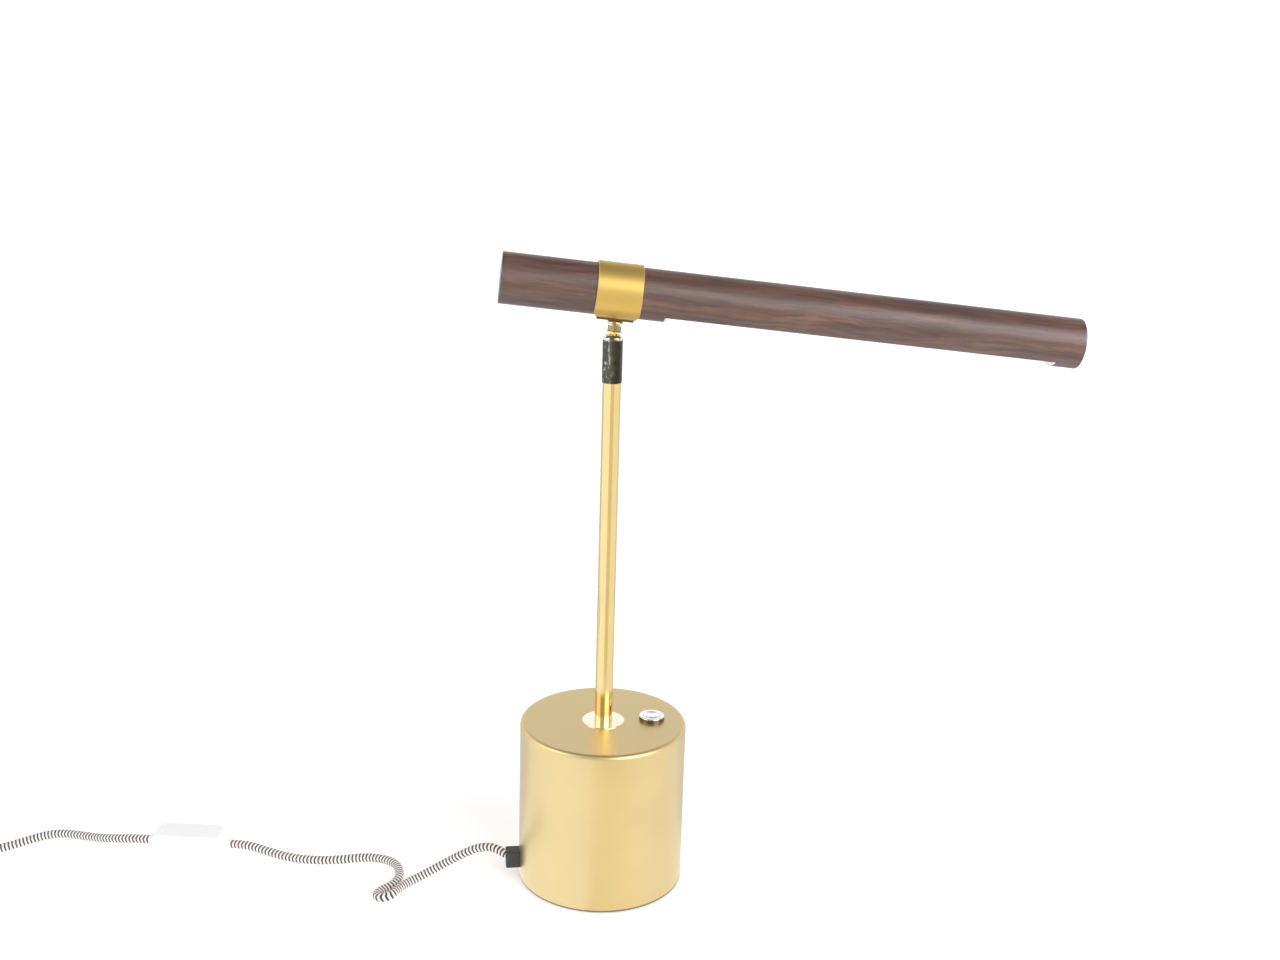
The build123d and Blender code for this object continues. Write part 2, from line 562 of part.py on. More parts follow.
TB = (-27.0, 13.0)
TAIL_Z = BALLAST_TOP + 5.0
ways = [TB[1] - 5.0, TB[1], TB[1] + 5.0]
clamp_spots = [(TB[0] + dx, y, BALLAST_TOP + 12.0) for dx in (-5.0, 5.0) for y in ways]
with BuildPart() as terminal_block:
    with Locations((TB[0], TB[1], BALLAST_TOP)):
        Box(20.0, 16.0, 12.0, align=(Align.CENTER, Align.CENTER, Align.MIN))
    chamfer(terminal_block.edges().filter_by(Axis.X).group_by(Axis.Z)[-1], 1.5)
    with Locations(*clamp_spots):
        Hole(1.55, depth=4.0)
    with BuildSketch(Plane(origin=(TB[0] + 4.0, 0, TAIL_Z), x_dir=(0, 1, 0), z_dir=(1, 0, 0))):
        with Locations(*[(y, 0) for y in ways]):
            Circle(1.3)
    extrude(amount=10.0, mode=Mode.SUBTRACT)

with BuildPart() as terminal_screws:
    with Locations(*[(x, y, BALLAST_TOP + 8.0) for x, y, _ in clamp_spots]):
        Cylinder(1.5, 3.0, align=(Align.CENTER, Align.CENTER, Align.MIN))

cord_start = Vector(0, 0, GRIP_Z) + GRIP_DIR * GRIP_OUT
tail_start = Vector(0, 0, GRIP_Z) + GRIP_DIR * (GRIP_OUT - 2.6)
tail_in = Vector(0, 0, GRIP_Z) + GRIP_DIR * 51.0
with BuildPart() as supply_tail:
    with BuildLine():
        FilletPolyline(tail_start, tail_in, (-45.6, 8.0, 24.0), (-45.2, TB[1], TAIL_Z), (TB[0] - 10.0, TB[1], TAIL_Z),
                       radius=3.3)
    with BuildSketch(Plane(origin=tail_start, x_dir=(-GRIP_DIR.Y, GRIP_DIR.X, 0), z_dir=-GRIP_DIR)):
        Circle(CORD_R)
    sweep()

with BuildPart() as switch_wires:
    for side, ty in ((-1, ways[1]), (1, ways[2])):
        start = (TB[0] + 6.0, ty, TAIL_Z)
        with BuildLine() as wire_path:
            FilletPolyline(start, (TB[0] + 15.0, ty, TAIL_Z), (0.0, 21.0 + 4 * side, 40.0),
                           (24.0, 16.0 + 3.5 * side, 58.0), (SWITCH_X, SWITCH_Y + 3.5 * side, 67.0),
                           (SWITCH_X, SWITCH_Y + 3.5 * side, 76.0), radius=3.0)
        with BuildSketch(Plane(origin=start, z_dir=wire_path.line % 0)):
            Circle(0.9)
        sweep(path=wire_path.line)

pole_wire_start = (TB[0] + 6.0, ways[0], TAIL_Z)
with BuildPart() as pole_wire:
    with BuildLine() as wire_path:
        FilletPolyline(pole_wire_start, (-14.0, ways[0], TAIL_Z), (-11.5, 4.0, 40.0), (-10.5, 0, 47.0),
                       (-5.6, 0, 54.5), (0, 0, 63.0), (0, 0, 395.0), radius=2.0)
    with BuildSketch(Plane(origin=pole_wire_start, z_dir=wire_path.line % 0)):
        Circle(WIRE_R)
    sweep()

# ================================================================ cord, lamp side

unit_near = (UNIT_CENTRE[0] - UX.X * UNIT_END, UNIT_CENTRE[1] - UX.Y * UNIT_END, UNIT_H / 2)
unit_far = (UNIT_CENTRE[0] + UX.X * UNIT_END, UNIT_CENTRE[1] + UX.Y * UNIT_END, UNIT_H / 2)
LAMP_ROUTE = [
    (cord_start.X, cord_start.Y, GRIP_Z), (-75.5, -1.9, 20.4), (-83.2, -0.3, 21.9), (-91.5, 0.4, 20.1),
    (-100.3, 0.1, 16.6), (-110.9, -0.2, 10.8), (-122.0, -4.6, 6.8), (-133.2, -11.6, 4.1),
    (-142.6, -19.5, 3.5), (-148.4, -29.1, 4.6), (-151.7, -38.2, 5.2), (-158.9, -39.7, 4.4),
    (-163.1, -34.0, 3.1), (-159.8, -26.6, 3.1), (-151.4, -20.0, 3.1), (-147.5, -9.6, 3.1),
    (-147.7, 1.2, 3.1), (-151.2, 10.3, 3.1), (-159.6, 17.3, 3.1), (-174.0, 20.9, 3.1),
    (-190.4, 17.7, 3.1), (-210.1, 17.2, 3.1), (-229.1, 21.1, 3.4), (-246.1, 26.5, 6.0),
    (unit_near[0] - UX.X * 13.2, unit_near[1] - UX.Y * 13.2, UNIT_H / 2), unit_near,
]
PLUG_ROUTE = [
    unit_far, (unit_far[0] + UX.X * 12.0, unit_far[1] + UX.Y * 12.0, UNIT_H / 2), (-363.5, 48.2, 7.4),
    (-378.0, 55.8, 4.2), (-392.5, 62.4, 3.1), (-404.5, 65.4, 3.1),
    (-415.0, 63.8, 3.1), (-425.0, 57.6, 3.1), (-436.5, 49.4, 3.1), (-450.0, 41.6, 3.1), (-465.5, 32.9, 3.1),
    (-480.9, 23.9, 3.1),
]
TAIL_ROUTE = [
    (COIL_CENTRE[0], COIL_CENTRE[1] - 40.45, 9.3), (-513.0, 18.6, 9.2), (-527.0, 19.2, 8.7), (-541.0, 21.5, 8.0),
    (-553.5, 27.5, 7.2), (-562.0, 36.5, 6.8), (-565.6, 46.5, 6.8), (-565.6, 56.0, 6.8),
]
PLUG_X, PLUG_Y0, PLUG_Z = -565.6, 56.0, 6.8

cord_tubes = {}
for cord_name, route in (("cord_lamp_side", LAMP_ROUTE), ("cord_plug_side", PLUG_ROUTE), ("cord_tail", TAIL_ROUTE)):
    radii = arc_radii(route)
    with BuildPart() as cord_tube:
        with BuildLine() as cord_path:
            FilletPolyline(*route, radius=radii)
        with BuildSketch(Plane(origin=route[0], z_dir=cord_path.line % 0)):
            Circle(CORD_R)
        sweep(path=cord_path.line)
    cord_tubes[cord_name] = cord_tube
    cord_length = sum(edge.length for edge in cord_path.edges())
    expected = math.pi * CORD_R ** 2 * cord_length
    print(cord_name, "length", round(cord_length, 1), "volume ratio",
          round(cord_tube.part.volume / expected, 4), "radii", [round(r, 1) for r in radii])

# ================================================================ in-line unit

with BuildPart() as driver_case_bottom:
    with BuildSketch(UNIT):
        RectangleRounded(2 * UNIT_HALF, UNIT_W, 5.0)
    extrude(amount=UNIT_H / 2)
    fillet(driver_case_bottom.faces().sort_by(Axis.Z)[0].edges(), 2.0)
    chamfer(driver_case_bottom.faces().sort_by(Axis.Z)[-1].edges(), 0.3)
    with BuildSketch(UNIT.offset(1.6)):
        RectangleRounded(2 * UNIT_HALF - 3.2, UNIT_W - 3.2, 3.4)
    extrude(amount=UNIT_H, mode=Mode.SUBTRACT)
    # pillars for the two screws
    with BuildSketch(UNIT):
        with Locations((-21.0, 7.0), (21.0, -7.0)):
            Circle(2.9)
    extrude(amount=UNIT_H / 2)
    with BuildSketch(UNIT):
        with Locations((-21.0, 7.0), (21.0, -7.0)):
            Circle(1.35)
    extrude(amount=UNIT_H / 2, mode=Mode.SUBTRACT)
    with BuildSketch(UNIT):
        with Locations((-21.0, 7.0), (21.0, -7.0)):
            Circle(2.3)
    extrude(amount=2.2, mode=Mode.SUBTRACT)
    # seats of the end sleeves
    with Locations(Location(UNIT_XZ)):
        Cylinder(4.55, 2 * UNIT_HALF + 2, rotation=(0, 90, 0), mode=Mode.SUBTRACT)

with BuildPart() as driver_case_top:
    with BuildSketch(UNIT.offset(UNIT_H / 2)):
        RectangleRounded(2 * UNIT_HALF, UNIT_W, 5.0)
    extrude(amount=UNIT_H / 2)
    fillet(driver_case_top.faces().sort_by(Axis.Z)[-1].edges(), 3.0)
    chamfer(driver_case_top.faces().sort_by(Axis.Z)[0].edges(), 0.3)
    with BuildSketch(UNIT.offset(UNIT_H / 2)):
        RectangleRounded(2 * UNIT_HALF - 3.2, UNIT_W - 3.2, 3.4)
    extrude(amount=UNIT_H / 2 - 1.6, mode=Mode.SUBTRACT)
    with BuildSketch(UNIT.offset(UNIT_H / 2)):
        with Locations((-21.0, 7.0), (21.0, -7.0)):
            Circle(2.9)
    extrude(amount=UNIT_H / 2 - 1.0)
    with BuildSketch(UNIT.offset(UNIT_H / 2)):
        with Locations((-21.0, 7.0), (21.0, -7.0)):
            Circle(1.28)
    extrude(amount=6.5, mode=Mode.SUBTRACT)
    with Locations(Location(UNIT_XZ)):
        Cylinder(4.55, 2 * UNIT_HALF + 2, rotation=(0, 90, 0), mode=Mode.SUBTRACT)

with BuildPart() as driver_screws:
    with BuildSketch(UNIT.offset(0.6)):
        with Locations((-21.0, 7.0), (21.0, -7.0)):
            Circle(2.2)
    extrude(amount=1.6)
    with BuildSketch(UNIT.offset(2.2)):
        with Locations((-21.0, 7.0), (21.0, -7.0)):
            Circle(1.25)
    extrude(amount=12.0)

with BuildPart() as driver_sleeves:
    for s in (-1, 1):
        with BuildSketch(UNIT_XZ):
            with BuildLine():
                Polyline((s * 23.0, 0), (s * 23.0, 4.5), (s * (UNIT_HALF + 0.2), 4.5),
                         (s * (UNIT_HALF + 1.0), 4.2), (s * UNIT_END, 3.5), (s * UNIT_END, 0), close=True)
            make_face()
        revolve(axis=UNIT_AXIS)

with BuildPart() as driver_board:
    with BuildSketch(UNIT.offset(3.6)):
        Rectangle(32.0, 18.0)
    extrude(amount=1.6)
    with BuildSketch(UNIT.offset(5.2)):
        with Locations((5.0, 1.5)):
            Rectangle(13.0, 11.0)
    extrude(amount=9.0)
    with BuildSketch(UNIT.offset(5.2)):
        with Locations((-9.0, -2.0)):
            Circle(3.6)
    extrude(amount=10.0)

# ================================================================ put-away length and plug

TIE_ANGLE = 107.6
TIE_W = 11.0
TIE_T = 1.1
tie_dir = Vector(math.cos(math.radians(TIE_ANGLE)), math.sin(math.radians(TIE_ANGLE)), 0)
TIE_PLANE = Plane(origin=Vector(COIL_CENTRE[0], COIL_CENTRE[1], COIL_H / 2), x_dir=tie_dir,
                  z_dir=tie_dir.cross(Vector(0, 0, 1)))
coil_mid = (COIL_IN + COIL_OUT) / 2

with BuildPart() as cord_coil:
    with BuildSketch(Plane(origin=(COIL_CENTRE[0], COIL_CENTRE[1], COIL_H / 2), x_dir=(1, 0, 0), z_dir=(0, -1, 0))):
        with Locations((coil_mid, 0)):
            RectangleRounded(COIL_OUT - COIL_IN, COIL_H, 3.0)
    revolve(axis=Axis((COIL_CENTRE[0], COIL_CENTRE[1], 0), (0, 0, 1)))
    # the turns are drawn in under the tie
    with BuildSketch(TIE_PLANE):
        with Locations((coil_mid, 0)):
            Rectangle(COIL_OUT - COIL_IN + 4, COIL_H + 4)
            RectangleRounded(COIL_OUT - COIL_IN - 2 * TIE_T, COIL_H - 2 * TIE_T, 2.2, mode=Mode.SUBTRACT)
    extrude(amount=TIE_W / 2 + 0.05, both=True, mode=Mode.SUBTRACT)

with BuildPart() as cord_tie:
    with BuildSketch(TIE_PLANE):
        with Locations((coil_mid, 0)):
            RectangleRounded(COIL_OUT - COIL_IN, COIL_H, 3.2)
            RectangleRounded(COIL_OUT - COIL_IN - 2 * TIE_T, COIL_H - 2 * TIE_T, 2.2, mode=Mode.SUBTRACT)
    extrude(amount=TIE_W / 2, both=True)

PLUG_T = 13.6
PIN_PITCH = 18.6
PIN_R = 2.0
PIN_ROOT = 1.8
plug_base = Plane(origin=(PLUG_X, PLUG_Y0, PLUG_Z), x_dir=(1, 0, 0), z_dir=(0, 1, 0))
with BuildPart() as plug_body:
    with BuildSketch(plug_base):
        Circle(3.7)
    with BuildSketch(plug_base.offset(22.0)):
        Circle(4.9)
    loft()
    with BuildSketch(plug_base.offset(22.0)):
        RectangleRounded(17.0, 11.6, 4.0)
    with BuildSketch(plug_base.offset(42.0)):
        RectangleRounded(35.0, PLUG_T, 6.0)
    loft()
    with BuildSketch(plug_base.offset(42.0)):
        RectangleRounded(35.0, PLUG_T, 6.0)
    extrude(amount=14.0)
    fillet(plug_body.faces().sort_by(Axis.Y)[-1].edges(), 0.8)
    with BuildSketch(plug_base.offset(48.0)):
        with Locations((-PIN_PITCH / 2, 0), (PIN_PITCH / 2, 0)):
            Circle(PIN_ROOT + 0.02)
    extrude(amount=10.0, mode=Mode.SUBTRACT)
    # grooves that let the strain relief bend
    for groove in (4.0, 8.0, 12.0, 16.0, 20.0):
        with BuildSketch(plug_base.offset(groove)):
            Circle(8.0)
            Circle(3.2 + 1.2 * groove / 22.0, mode=Mode.SUBTRACT)
        extrude(amount=1.2, mode=Mode.SUBTRACT)

with BuildPart() as plug_pins:
    with BuildSketch(plug_base.offset(48.0)):
        with Locations((-PIN_PITCH / 2, 0), (PIN_PITCH / 2, 0)):
            Circle(PIN_ROOT)
    extrude(amount=9.0)
    with BuildSketch(plug_base.offset(56.05)):
        with Locations((-PIN_PITCH / 2, 0), (PIN_PITCH / 2, 0)):
            Circle(PIN_R)
    extrude(amount=19.0)
    fillet(plug_pins.faces().sort_by(Axis.Y)[-2:].edges(), 1.2)

# ---------------------------------------------------------------- write the pieces
pieces = {
    "foot_pad": foot_pad, "base_plate": base_plate, "base_plate_screws": base_plate_screws,
    "ballast": ballast, "base_shell": base_shell, "tie_rod": tie_rod, "rod_nuts": rod_nuts,
    "rod_washers": rod_washers, "pole": pole, "pole_flange": pole_flange, "joint_spigot": joint_spigot,
    "joint_sleeve": joint_sleeve, "sleeve_set_screw": sleeve_set_screw,
    "joint_spring_washers": joint_spring_washers, "ball_seat": ball_seat, "ball_liner": ball_liner,
    "ball_stud": ball_stud, "head_plate": head_plate, "clamp_band": clamp_band, "head_tube": head_tube,
    "end_cap_left": end_cap_left, "end_cap_right": end_cap_right, "led_carrier": led_carrier,
    "led_board": led_board, "led_chips": led_chips, "diffuser": diffuser, "stud_saddle": stud_saddle,
    "stud_nut": stud_nut, "head_wire": head_wire, "switch_bezel": switch_bezel, "switch_nut": switch_nut,
    "switch_body": switch_body, "switch_button": switch_button, "switch_spring": switch_spring,
    "cord_grip": cord_grip, "terminal_block": terminal_block, "terminal_screws": terminal_screws,
    "supply_tail": supply_tail, "switch_wires": switch_wires, "pole_wire": pole_wire,
    "driver_case_bottom": driver_case_bottom, "driver_case_top": driver_case_top,
    "driver_screws": driver_screws, "driver_sleeves": driver_sleeves, "driver_board": driver_board,
    "cord_coil": cord_coil, "cord_tie": cord_tie, "plug_body": plug_body, "plug_pins": plug_pins,
}
pieces.update(cord_tubes)
for piece_name, piece in pieces.items():
    piece.part.label = piece_name
    export_step(piece.part, "parts/" + piece_name + ".step")
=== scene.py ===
import math
import bpy
import numpy as np
from mathutils import Matrix, Vector


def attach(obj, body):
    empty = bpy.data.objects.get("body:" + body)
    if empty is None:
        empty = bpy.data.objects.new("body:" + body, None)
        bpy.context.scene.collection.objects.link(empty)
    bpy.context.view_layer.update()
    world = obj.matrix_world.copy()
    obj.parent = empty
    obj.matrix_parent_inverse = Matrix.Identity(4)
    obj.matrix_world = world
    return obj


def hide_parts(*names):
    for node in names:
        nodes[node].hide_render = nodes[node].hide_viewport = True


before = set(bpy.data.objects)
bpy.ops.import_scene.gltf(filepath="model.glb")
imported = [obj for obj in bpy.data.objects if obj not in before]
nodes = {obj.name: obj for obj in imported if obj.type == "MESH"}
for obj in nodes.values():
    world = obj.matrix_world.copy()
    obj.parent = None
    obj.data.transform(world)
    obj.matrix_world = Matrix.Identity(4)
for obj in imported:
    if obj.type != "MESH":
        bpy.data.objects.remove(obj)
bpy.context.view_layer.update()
scene = bpy.context.scene
scene.view_settings.view_transform = "Standard"
scene.view_settings.look = "None"

# ------------------------------------------------------------------ camera
eye = Vector((-0.08498, -1.06044, 0.61792))
look = Vector((0.09604, 0.95437, -0.28277))
right = Vector((0.99537, -0.09133, 0.02982))
up = Vector((-0.00263, 0.28432, 0.95872))
cam_data = bpy.data.cameras.new("camera")
cam_data.sensor_fit = "HORIZONTAL"
cam_data.sensor_width = 36.0
cam_data.lens = 45.0
cam_data.shift_x = -0.0004
cam_data.shift_y = 0.0003
cam_data.clip_start = 0.01
cam_data.clip_end = 200.0
camera = bpy.data.objects.new("camera", cam_data)
scene.collection.objects.link(camera)
camera.matrix_world = Matrix((
    (right.x, up.x, -look.x, eye.x),
    (right.y, up.y, -look.y, eye.y),
    (right.z, up.z, -look.z, eye.z),
    (0, 0, 0, 1)))
scene.camera = camera

# ------------------------------------------------------------------ cords
MM = 0.001
CORD_D = 6.2
WALL_Z = 0.12465      # upper end of the switch bezel's straight wall
LAMP_ROUTE = [
    (-69.904, -3.664, 17.0), (-75.5, -1.9, 20.4), (-83.2, -0.3, 21.9), (-91.5, 0.4, 20.1),
    (-100.3, 0.1, 16.6), (-110.9, -0.2, 10.8), (-122.0, -4.6, 6.8), (-133.2, -11.6, 4.1),
    (-142.6, -19.5, 3.5), (-148.4, -29.1, 4.6), (-151.7, -38.2, 5.2), (-158.9, -39.7, 4.4),
    (-163.1, -34.0, 3.1), (-159.8, -26.6, 3.1), (-151.4, -20.0, 3.1), (-147.5, -9.6, 3.1),
    (-147.7, 1.2, 3.1), (-151.2, 10.3, 3.1), (-159.6, 17.3, 3.1), (-174.0, 20.9, 3.1),
    (-190.4, 17.7, 3.1), (-210.1, 17.2, 3.1), (-229.1, 21.1, 3.4), (-246.1, 26.5, 6.0),
    (-260.949, 31.057, 9.5), (-274.005, 33.001, 9.5),
]
PLUG_ROUTE = [
    (-335.329, 42.129, 9.5), (-347.199, 43.895, 9.5), (-363.5, 48.2, 7.4), (-378.0, 55.8, 4.2),
    (-392.5, 62.4, 3.1), (-404.5, 65.4, 3.1), (-415.0, 63.8, 3.1), (-425.0, 57.6, 3.1),
    (-436.5, 49.4, 3.1), (-450.0, 41.6, 3.1), (-465.5, 32.9, 3.1), (-480.9, 23.9, 3.1),
]
TAIL_ROUTE = [
    (-501.0, 18.85, 9.3), (-513.0, 18.6, 9.2), (-527.0, 19.2, 8.7), (-541.0, 21.5, 8.0),
    (-553.5, 27.5, 7.2), (-562.0, 36.5, 6.8), (-565.6, 46.5, 6.8), (-565.6, 56.0, 6.8),
]
COIL_C = (-501.0, 59.3)
COIL_START = 299.6      # degrees, where the cord runs into its outer turn
COIL_STEP = 24.0
COIL_TIE = 107.6


def coil_points():
    """Turns of the put-away length: inwards on the table, up, and outwards on top."""
    out = []
    per_turn = 360.0 / COIL_STEP
    steps = int(6 * per_turn)
    grow = 1 / math.cos(math.radians(COIL_STEP / 2))
    for i in range(1, steps + 1):
        a = COIL_START - COIL_STEP * i
        half = steps / 2
        if i <= half:
            r = 40.45 - 6.2 * i / per_turn
            z = 3.1
        else:
            r = 21.85 + 6.2 * (i - half) / per_turn
            z = 9.3
        if abs(i - half) < 2:
            z = 6.2 + 3.1 * (i - half) / 2
        squeeze = abs((a - COIL_TIE + 180) % 360 - 180) < 2
        if squeeze:
            z += 1.1 if z < 6 else -1.1
            r += -1.2 if r > 35 else (1.2 if r < 26 else 0.0)
        out.append((COIL_C[0] + r * grow * math.cos(math.radians(a)),
                    COIL_C[1] + r * grow * math.sin(math.radians(a)), z))
    return out


def spline_points(points, resolution):
    """Points along the route's own smooth spline."""
    data = bpy.data.curves.new("route", "CURVE")
    data.dimensions = "3D"
    data.resolution_u = resolution
    spl = data.splines.new("NURBS")
    spl.points.add(len(points) - 1)
    for p, co in zip(spl.points, points):
        p.co = (co[0] * MM, co[1] * MM, co[2] * MM, 1)
    spl.order_u = 3
    spl.use_endpoint_u = True
    holder = bpy.data.objects.new("route", data)
    scene.collection.objects.link(holder)
    bpy.context.view_layer.update()
    mesh = bpy.data.meshes.new_from_object(holder.evaluated_get(bpy.context.evaluated_depsgraph_get()))
    co = np.zeros(len(mesh.vertices) * 3)
    mesh.vertices.foreach_get("co", co)
    bpy.data.objects.remove(holder)
    bpy.data.meshes.remove(mesh)
    return co.reshape(-1, 3)


def tube(name, line, radius, step, sides):
    """Tube round a line, with (turn, length in metres) as its UVs."""
    seg = np.linalg.norm(np.diff(line, axis=0), axis=1)
    keep = np.concatenate([[True], seg > 1e-7])
    line = line[keep]
    run = np.concatenate([[0], np.cumsum(np.linalg.norm(np.diff(line, axis=0), axis=1))])
    count = max(8, int(round(run[-1] / step)))
    s = np.linspace(0, run[-1], count + 1)
    pts = np.stack([np.interp(s, run, line[:, k]) for k in range(3)], axis=1)
    tan = np.gradient(pts, axis=0)
    tan /= np.linalg.norm(tan, axis=1)[:, None]
    normal = np.cross(tan[0], (0, 0, 1.0))
    normal /= np.linalg.norm(normal)
    verts, frames = [], []
    for p, t in zip(pts, tan):
        normal = normal - t * normal.dot(t)
        normal /= np.linalg.norm(normal)
        side = np.cross(t, normal)
        for k in range(sides):
            a = 2 * math.pi * k / sides
            verts.append(p + radius * (math.cos(a) * normal + math.sin(a) * side))
    faces, uvs = [], []
    for i in range(count):
        for k in range(sides):
            k2 = (k + 1) % sides
            faces.append((i * sides + k, i * sides + k2, (i + 1) * sides + k2, (i + 1) * sides + k))
            uvs += [(k / sides, s[i]), ((k + 1) / sides, s[i]), ((k + 1) / sides, s[i + 1]), (k / sides, s[i + 1])]
    faces.append(tuple(range(sides - 1, -1, -1)))
    faces.append(tuple(range(count * sides, (count + 1) * sides)))
    uvs += [(0.5, 0)] * sides + [(0.5, s[-1])] * sides
    mesh = bpy.data.meshes.new(name)
    mesh.from_pydata([tuple(v) for v in verts], [], faces)
    layer = mesh.uv_layers.new(name="braid")
    layer.data.foreach_set("uv", np.array(uvs, np.float32).ravel())
    mesh.polygons.foreach_set("use_smooth", [True] * len(faces))
    mesh.update()
    obj = bpy.data.objects.new(name, mesh)
    scene.collection.objects.link(obj)
    return obj, pts, run[-1]


lamp_line = spline_points(LAMP_ROUTE, 24)
cord_a, path_a, len_a = tube("cord_to_unit", lamp_line, CORD_D / 2 * MM, 0.0007, 28)
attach(cord_a, "base")
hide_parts("cord_lamp_side")

plug_line = spline_points(PLUG_ROUTE + coil_points() + TAIL_ROUTE, 24)
cord_b, path_b, len_b = tube("cord_to_plug", plug_line, CORD_D / 2 * MM, 0.0009, 24)
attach(cord_b, "base")
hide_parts("cord_plug_side", "cord_coil", "cord_tail")
print("cord lengths", round(len_a, 4), round(len_b, 4))


HEAD_TILT = math.radians(5.79)
BALL = (0.0, 0.0, 0.4022)
HEAD_H = 0.0341


# ------------------------------------------------------------------ shader helpers
class Shader:
    """A material under construction: Principled surface plus whatever feeds it."""

    def __init__(self, name, **sockets):
        self.mat = bpy.data.materials.new(name)
        self.mat.use_nodes = True
        self.tree = self.mat.node_tree
        self.tree.nodes.clear()
        self.out = self.tree.nodes.new("ShaderNodeOutputMaterial")
        self.bsdf = self.tree.nodes.new("ShaderNodeBsdfPrincipled")
        self.link(self.bsdf.outputs[0], self.out.inputs[0])
        for key, value in sockets.items():
            self.bsdf.inputs[key.replace("_", " ")].default_value = value
        self._coord = None

    def link(self, a, b):
        self.tree.links.new(a, b)

    def node(self, kind, **props):
        n = self.tree.nodes.new(kind)
        for key, value in props.items():
            setattr(n, key, value)
        return n

    def coord(self, which="Object"):
        if self._coord is None:
            self._coord = self.node("ShaderNodeTexCoord")
        return self._coord.outputs[which]

    def mapped(self, source, location=(0, 0, 0), rotation=(0, 0, 0), scale=(1, 1, 1)):
        m = self.node("ShaderNodeMapping")
        m.inputs["Location"].default_value = location
        m.inputs["Rotation"].default_value = rotation
        m.inputs["Scale"].default_value = scale
        self.link(source, m.inputs["Vector"])
        return m.outputs[0]

    def noise(self, source, scale, detail=3.0, rough=0.5, distort=0.0):
        n = self.node("ShaderNodeTexNoise")
        n.inputs["Scale"].default_value = scale
        n.inputs["Detail"].default_value = detail
        n.inputs["Roughness"].default_value = rough
        n.inputs["Distortion"].default_value = distort
        self.link(source, n.inputs["Vector"])
        return n.outputs["Fac"]

    def math(self, op, a, b=None, c=None, clamp=False):
        n = self.node("ShaderNodeMath", operation=op, use_clamp=clamp)
        for i, v in enumerate((a, b, c)):
            if v is None:
                continue
            if isinstance(v, (int, float)):
                n.inputs[i].default_value = v
            else:
                self.link(v, n.inputs[i])
        return n.outputs[0]

    def remap(self, value, lo, hi, to_lo, to_hi, smooth=False):
        n = self.node("ShaderNodeMapRange")
        n.interpolation_type = "SMOOTHSTEP" if smooth else "LINEAR"
        n.inputs["From Min"].default_value = lo
        n.inputs["From Max"].default_value = hi
        n.inputs["To Min"].default_value = to_lo
        n.inputs["To Max"].default_value = to_hi
        self.link(value, n.inputs["Value"])
        return n.outputs[0]

    def ramp(self, value, stops, interpolation="LINEAR"):
        n = self.node("ShaderNodeValToRGB")
        n.color_ramp.interpolation = interpolation
        el = n.color_ramp.elements
        while len(el) < len(stops):
            el.new(0.5)
        for e, (pos, col) in zip(el, stops):
            e.position = pos
            e.color = (*col, 1)
        self.link(value, n.inputs[0])
        return n.outputs[0]

    def mix(self, fac, a, b, blend="MIX"):
        n = self.node("ShaderNodeMix", data_type="RGBA", blend_type=blend)
        for sock, v in ((n.inputs["Factor"], fac), (n.inputs["A"], a), (n.inputs["B"], b)):
            if isinstance(v, (int, float)):
                sock.default_value = v
            elif isinstance(v, tuple):
                sock.default_value = (*v, 1)
            else:
                self.link(v, sock)
        # colour sockets of the mix node
        for i, s in enumerate(n.inputs):
            if s.type == "RGBA":
                v = a if s.name == "A" else b
                if isinstance(v, tuple):
                    s.default_value = (*v, 1)
                elif not s.is_linked:
                    self.link(v, s)
        return [o for o in n.outputs if o.type == "RGBA"][0]

    def separate(self, source):
        n = self.node("ShaderNodeSeparateXYZ")
        self.link(source, n.inputs[0])
        return n.outputs

    def combine(self, x, y, z):
        n = self.node("ShaderNodeCombineXYZ")
        for i, v in enumerate((x, y, z)):
            if isinstance(v, (int, float)):
                n.inputs[i].default_value = v
            else:
                self.link(v, n.inputs[i])
        return n.outputs[0]

    def bump(self, height, strength, distance=0.001):
        n = self.node("ShaderNodeBump")
        n.inputs["Strength"].default_value = strength
        n.inputs["Distance"].default_value = distance
        self.link(height, n.inputs["Height"])
        self.link(n.outputs[0], self.bsdf.inputs["Normal"])

    def to(self, socket, value):
        self.link(value, self.bsdf.inputs[socket])


def tint(color, k):
    return tuple(min(1.0, c * k) for c in color)


def satin_metal(name, color, rough, spread=0.05, grain=1400, grain_strength=0.12, scuff_and_shade_edge=None, lacquer=0.0):
    """Satin plated or lacquered metal: fine tooth, slight clouding, optional scuffs and a painted shadow line at the
    bottom edge.
    """
    s = Shader(name, Metallic=1.0)
    s.bsdf.inputs["Coat Weight"].default_value = lacquer
    s.bsdf.inputs["Coat Roughness"].default_value = 0.35
    co = s.coord()
    cloud = s.noise(co, 22.0, 4.0, 0.55)
    fine = s.noise(co, grain, 2.0, 0.6)
    col = s.ramp(cloud, [(0.3, tint(color, 0.965)), (0.7, tint(color, 1.03))])
    if scuff_and_shade_edge:
        z = s.separate(co)[2]
        low = s.remap(z, 0.0012, 0.0075, 1.0, 0.0, True)
        spots = s.remap(s.noise(s.mapped(co, scale=(1, 1, 2.2)), 160.0, 3.0, 0.6), 0.60, 0.72, 0.0, 0.45)
        col = s.mix(s.math("MULTIPLY", low, spots), col, scuff_and_shade_edge)
        col = s.mix(s.remap(z, 0.0020, 0.0027, 0.78, 0.0, True), col, (0.075, 0.062, 0.058))   # painted shadow line: the bottom edge darkened where the gap under the shell lies in shade
    s.to("Base Color", col)
    s.to("Roughness", s.math("ADD", s.remap(cloud, 0.3, 0.7, rough - spread / 2, rough + spread / 2),
                             s.remap(fine, 0.2, 0.8, -0.02, 0.02)))
    s.bump(fine, grain_strength, 0.00008)
    return s.mat


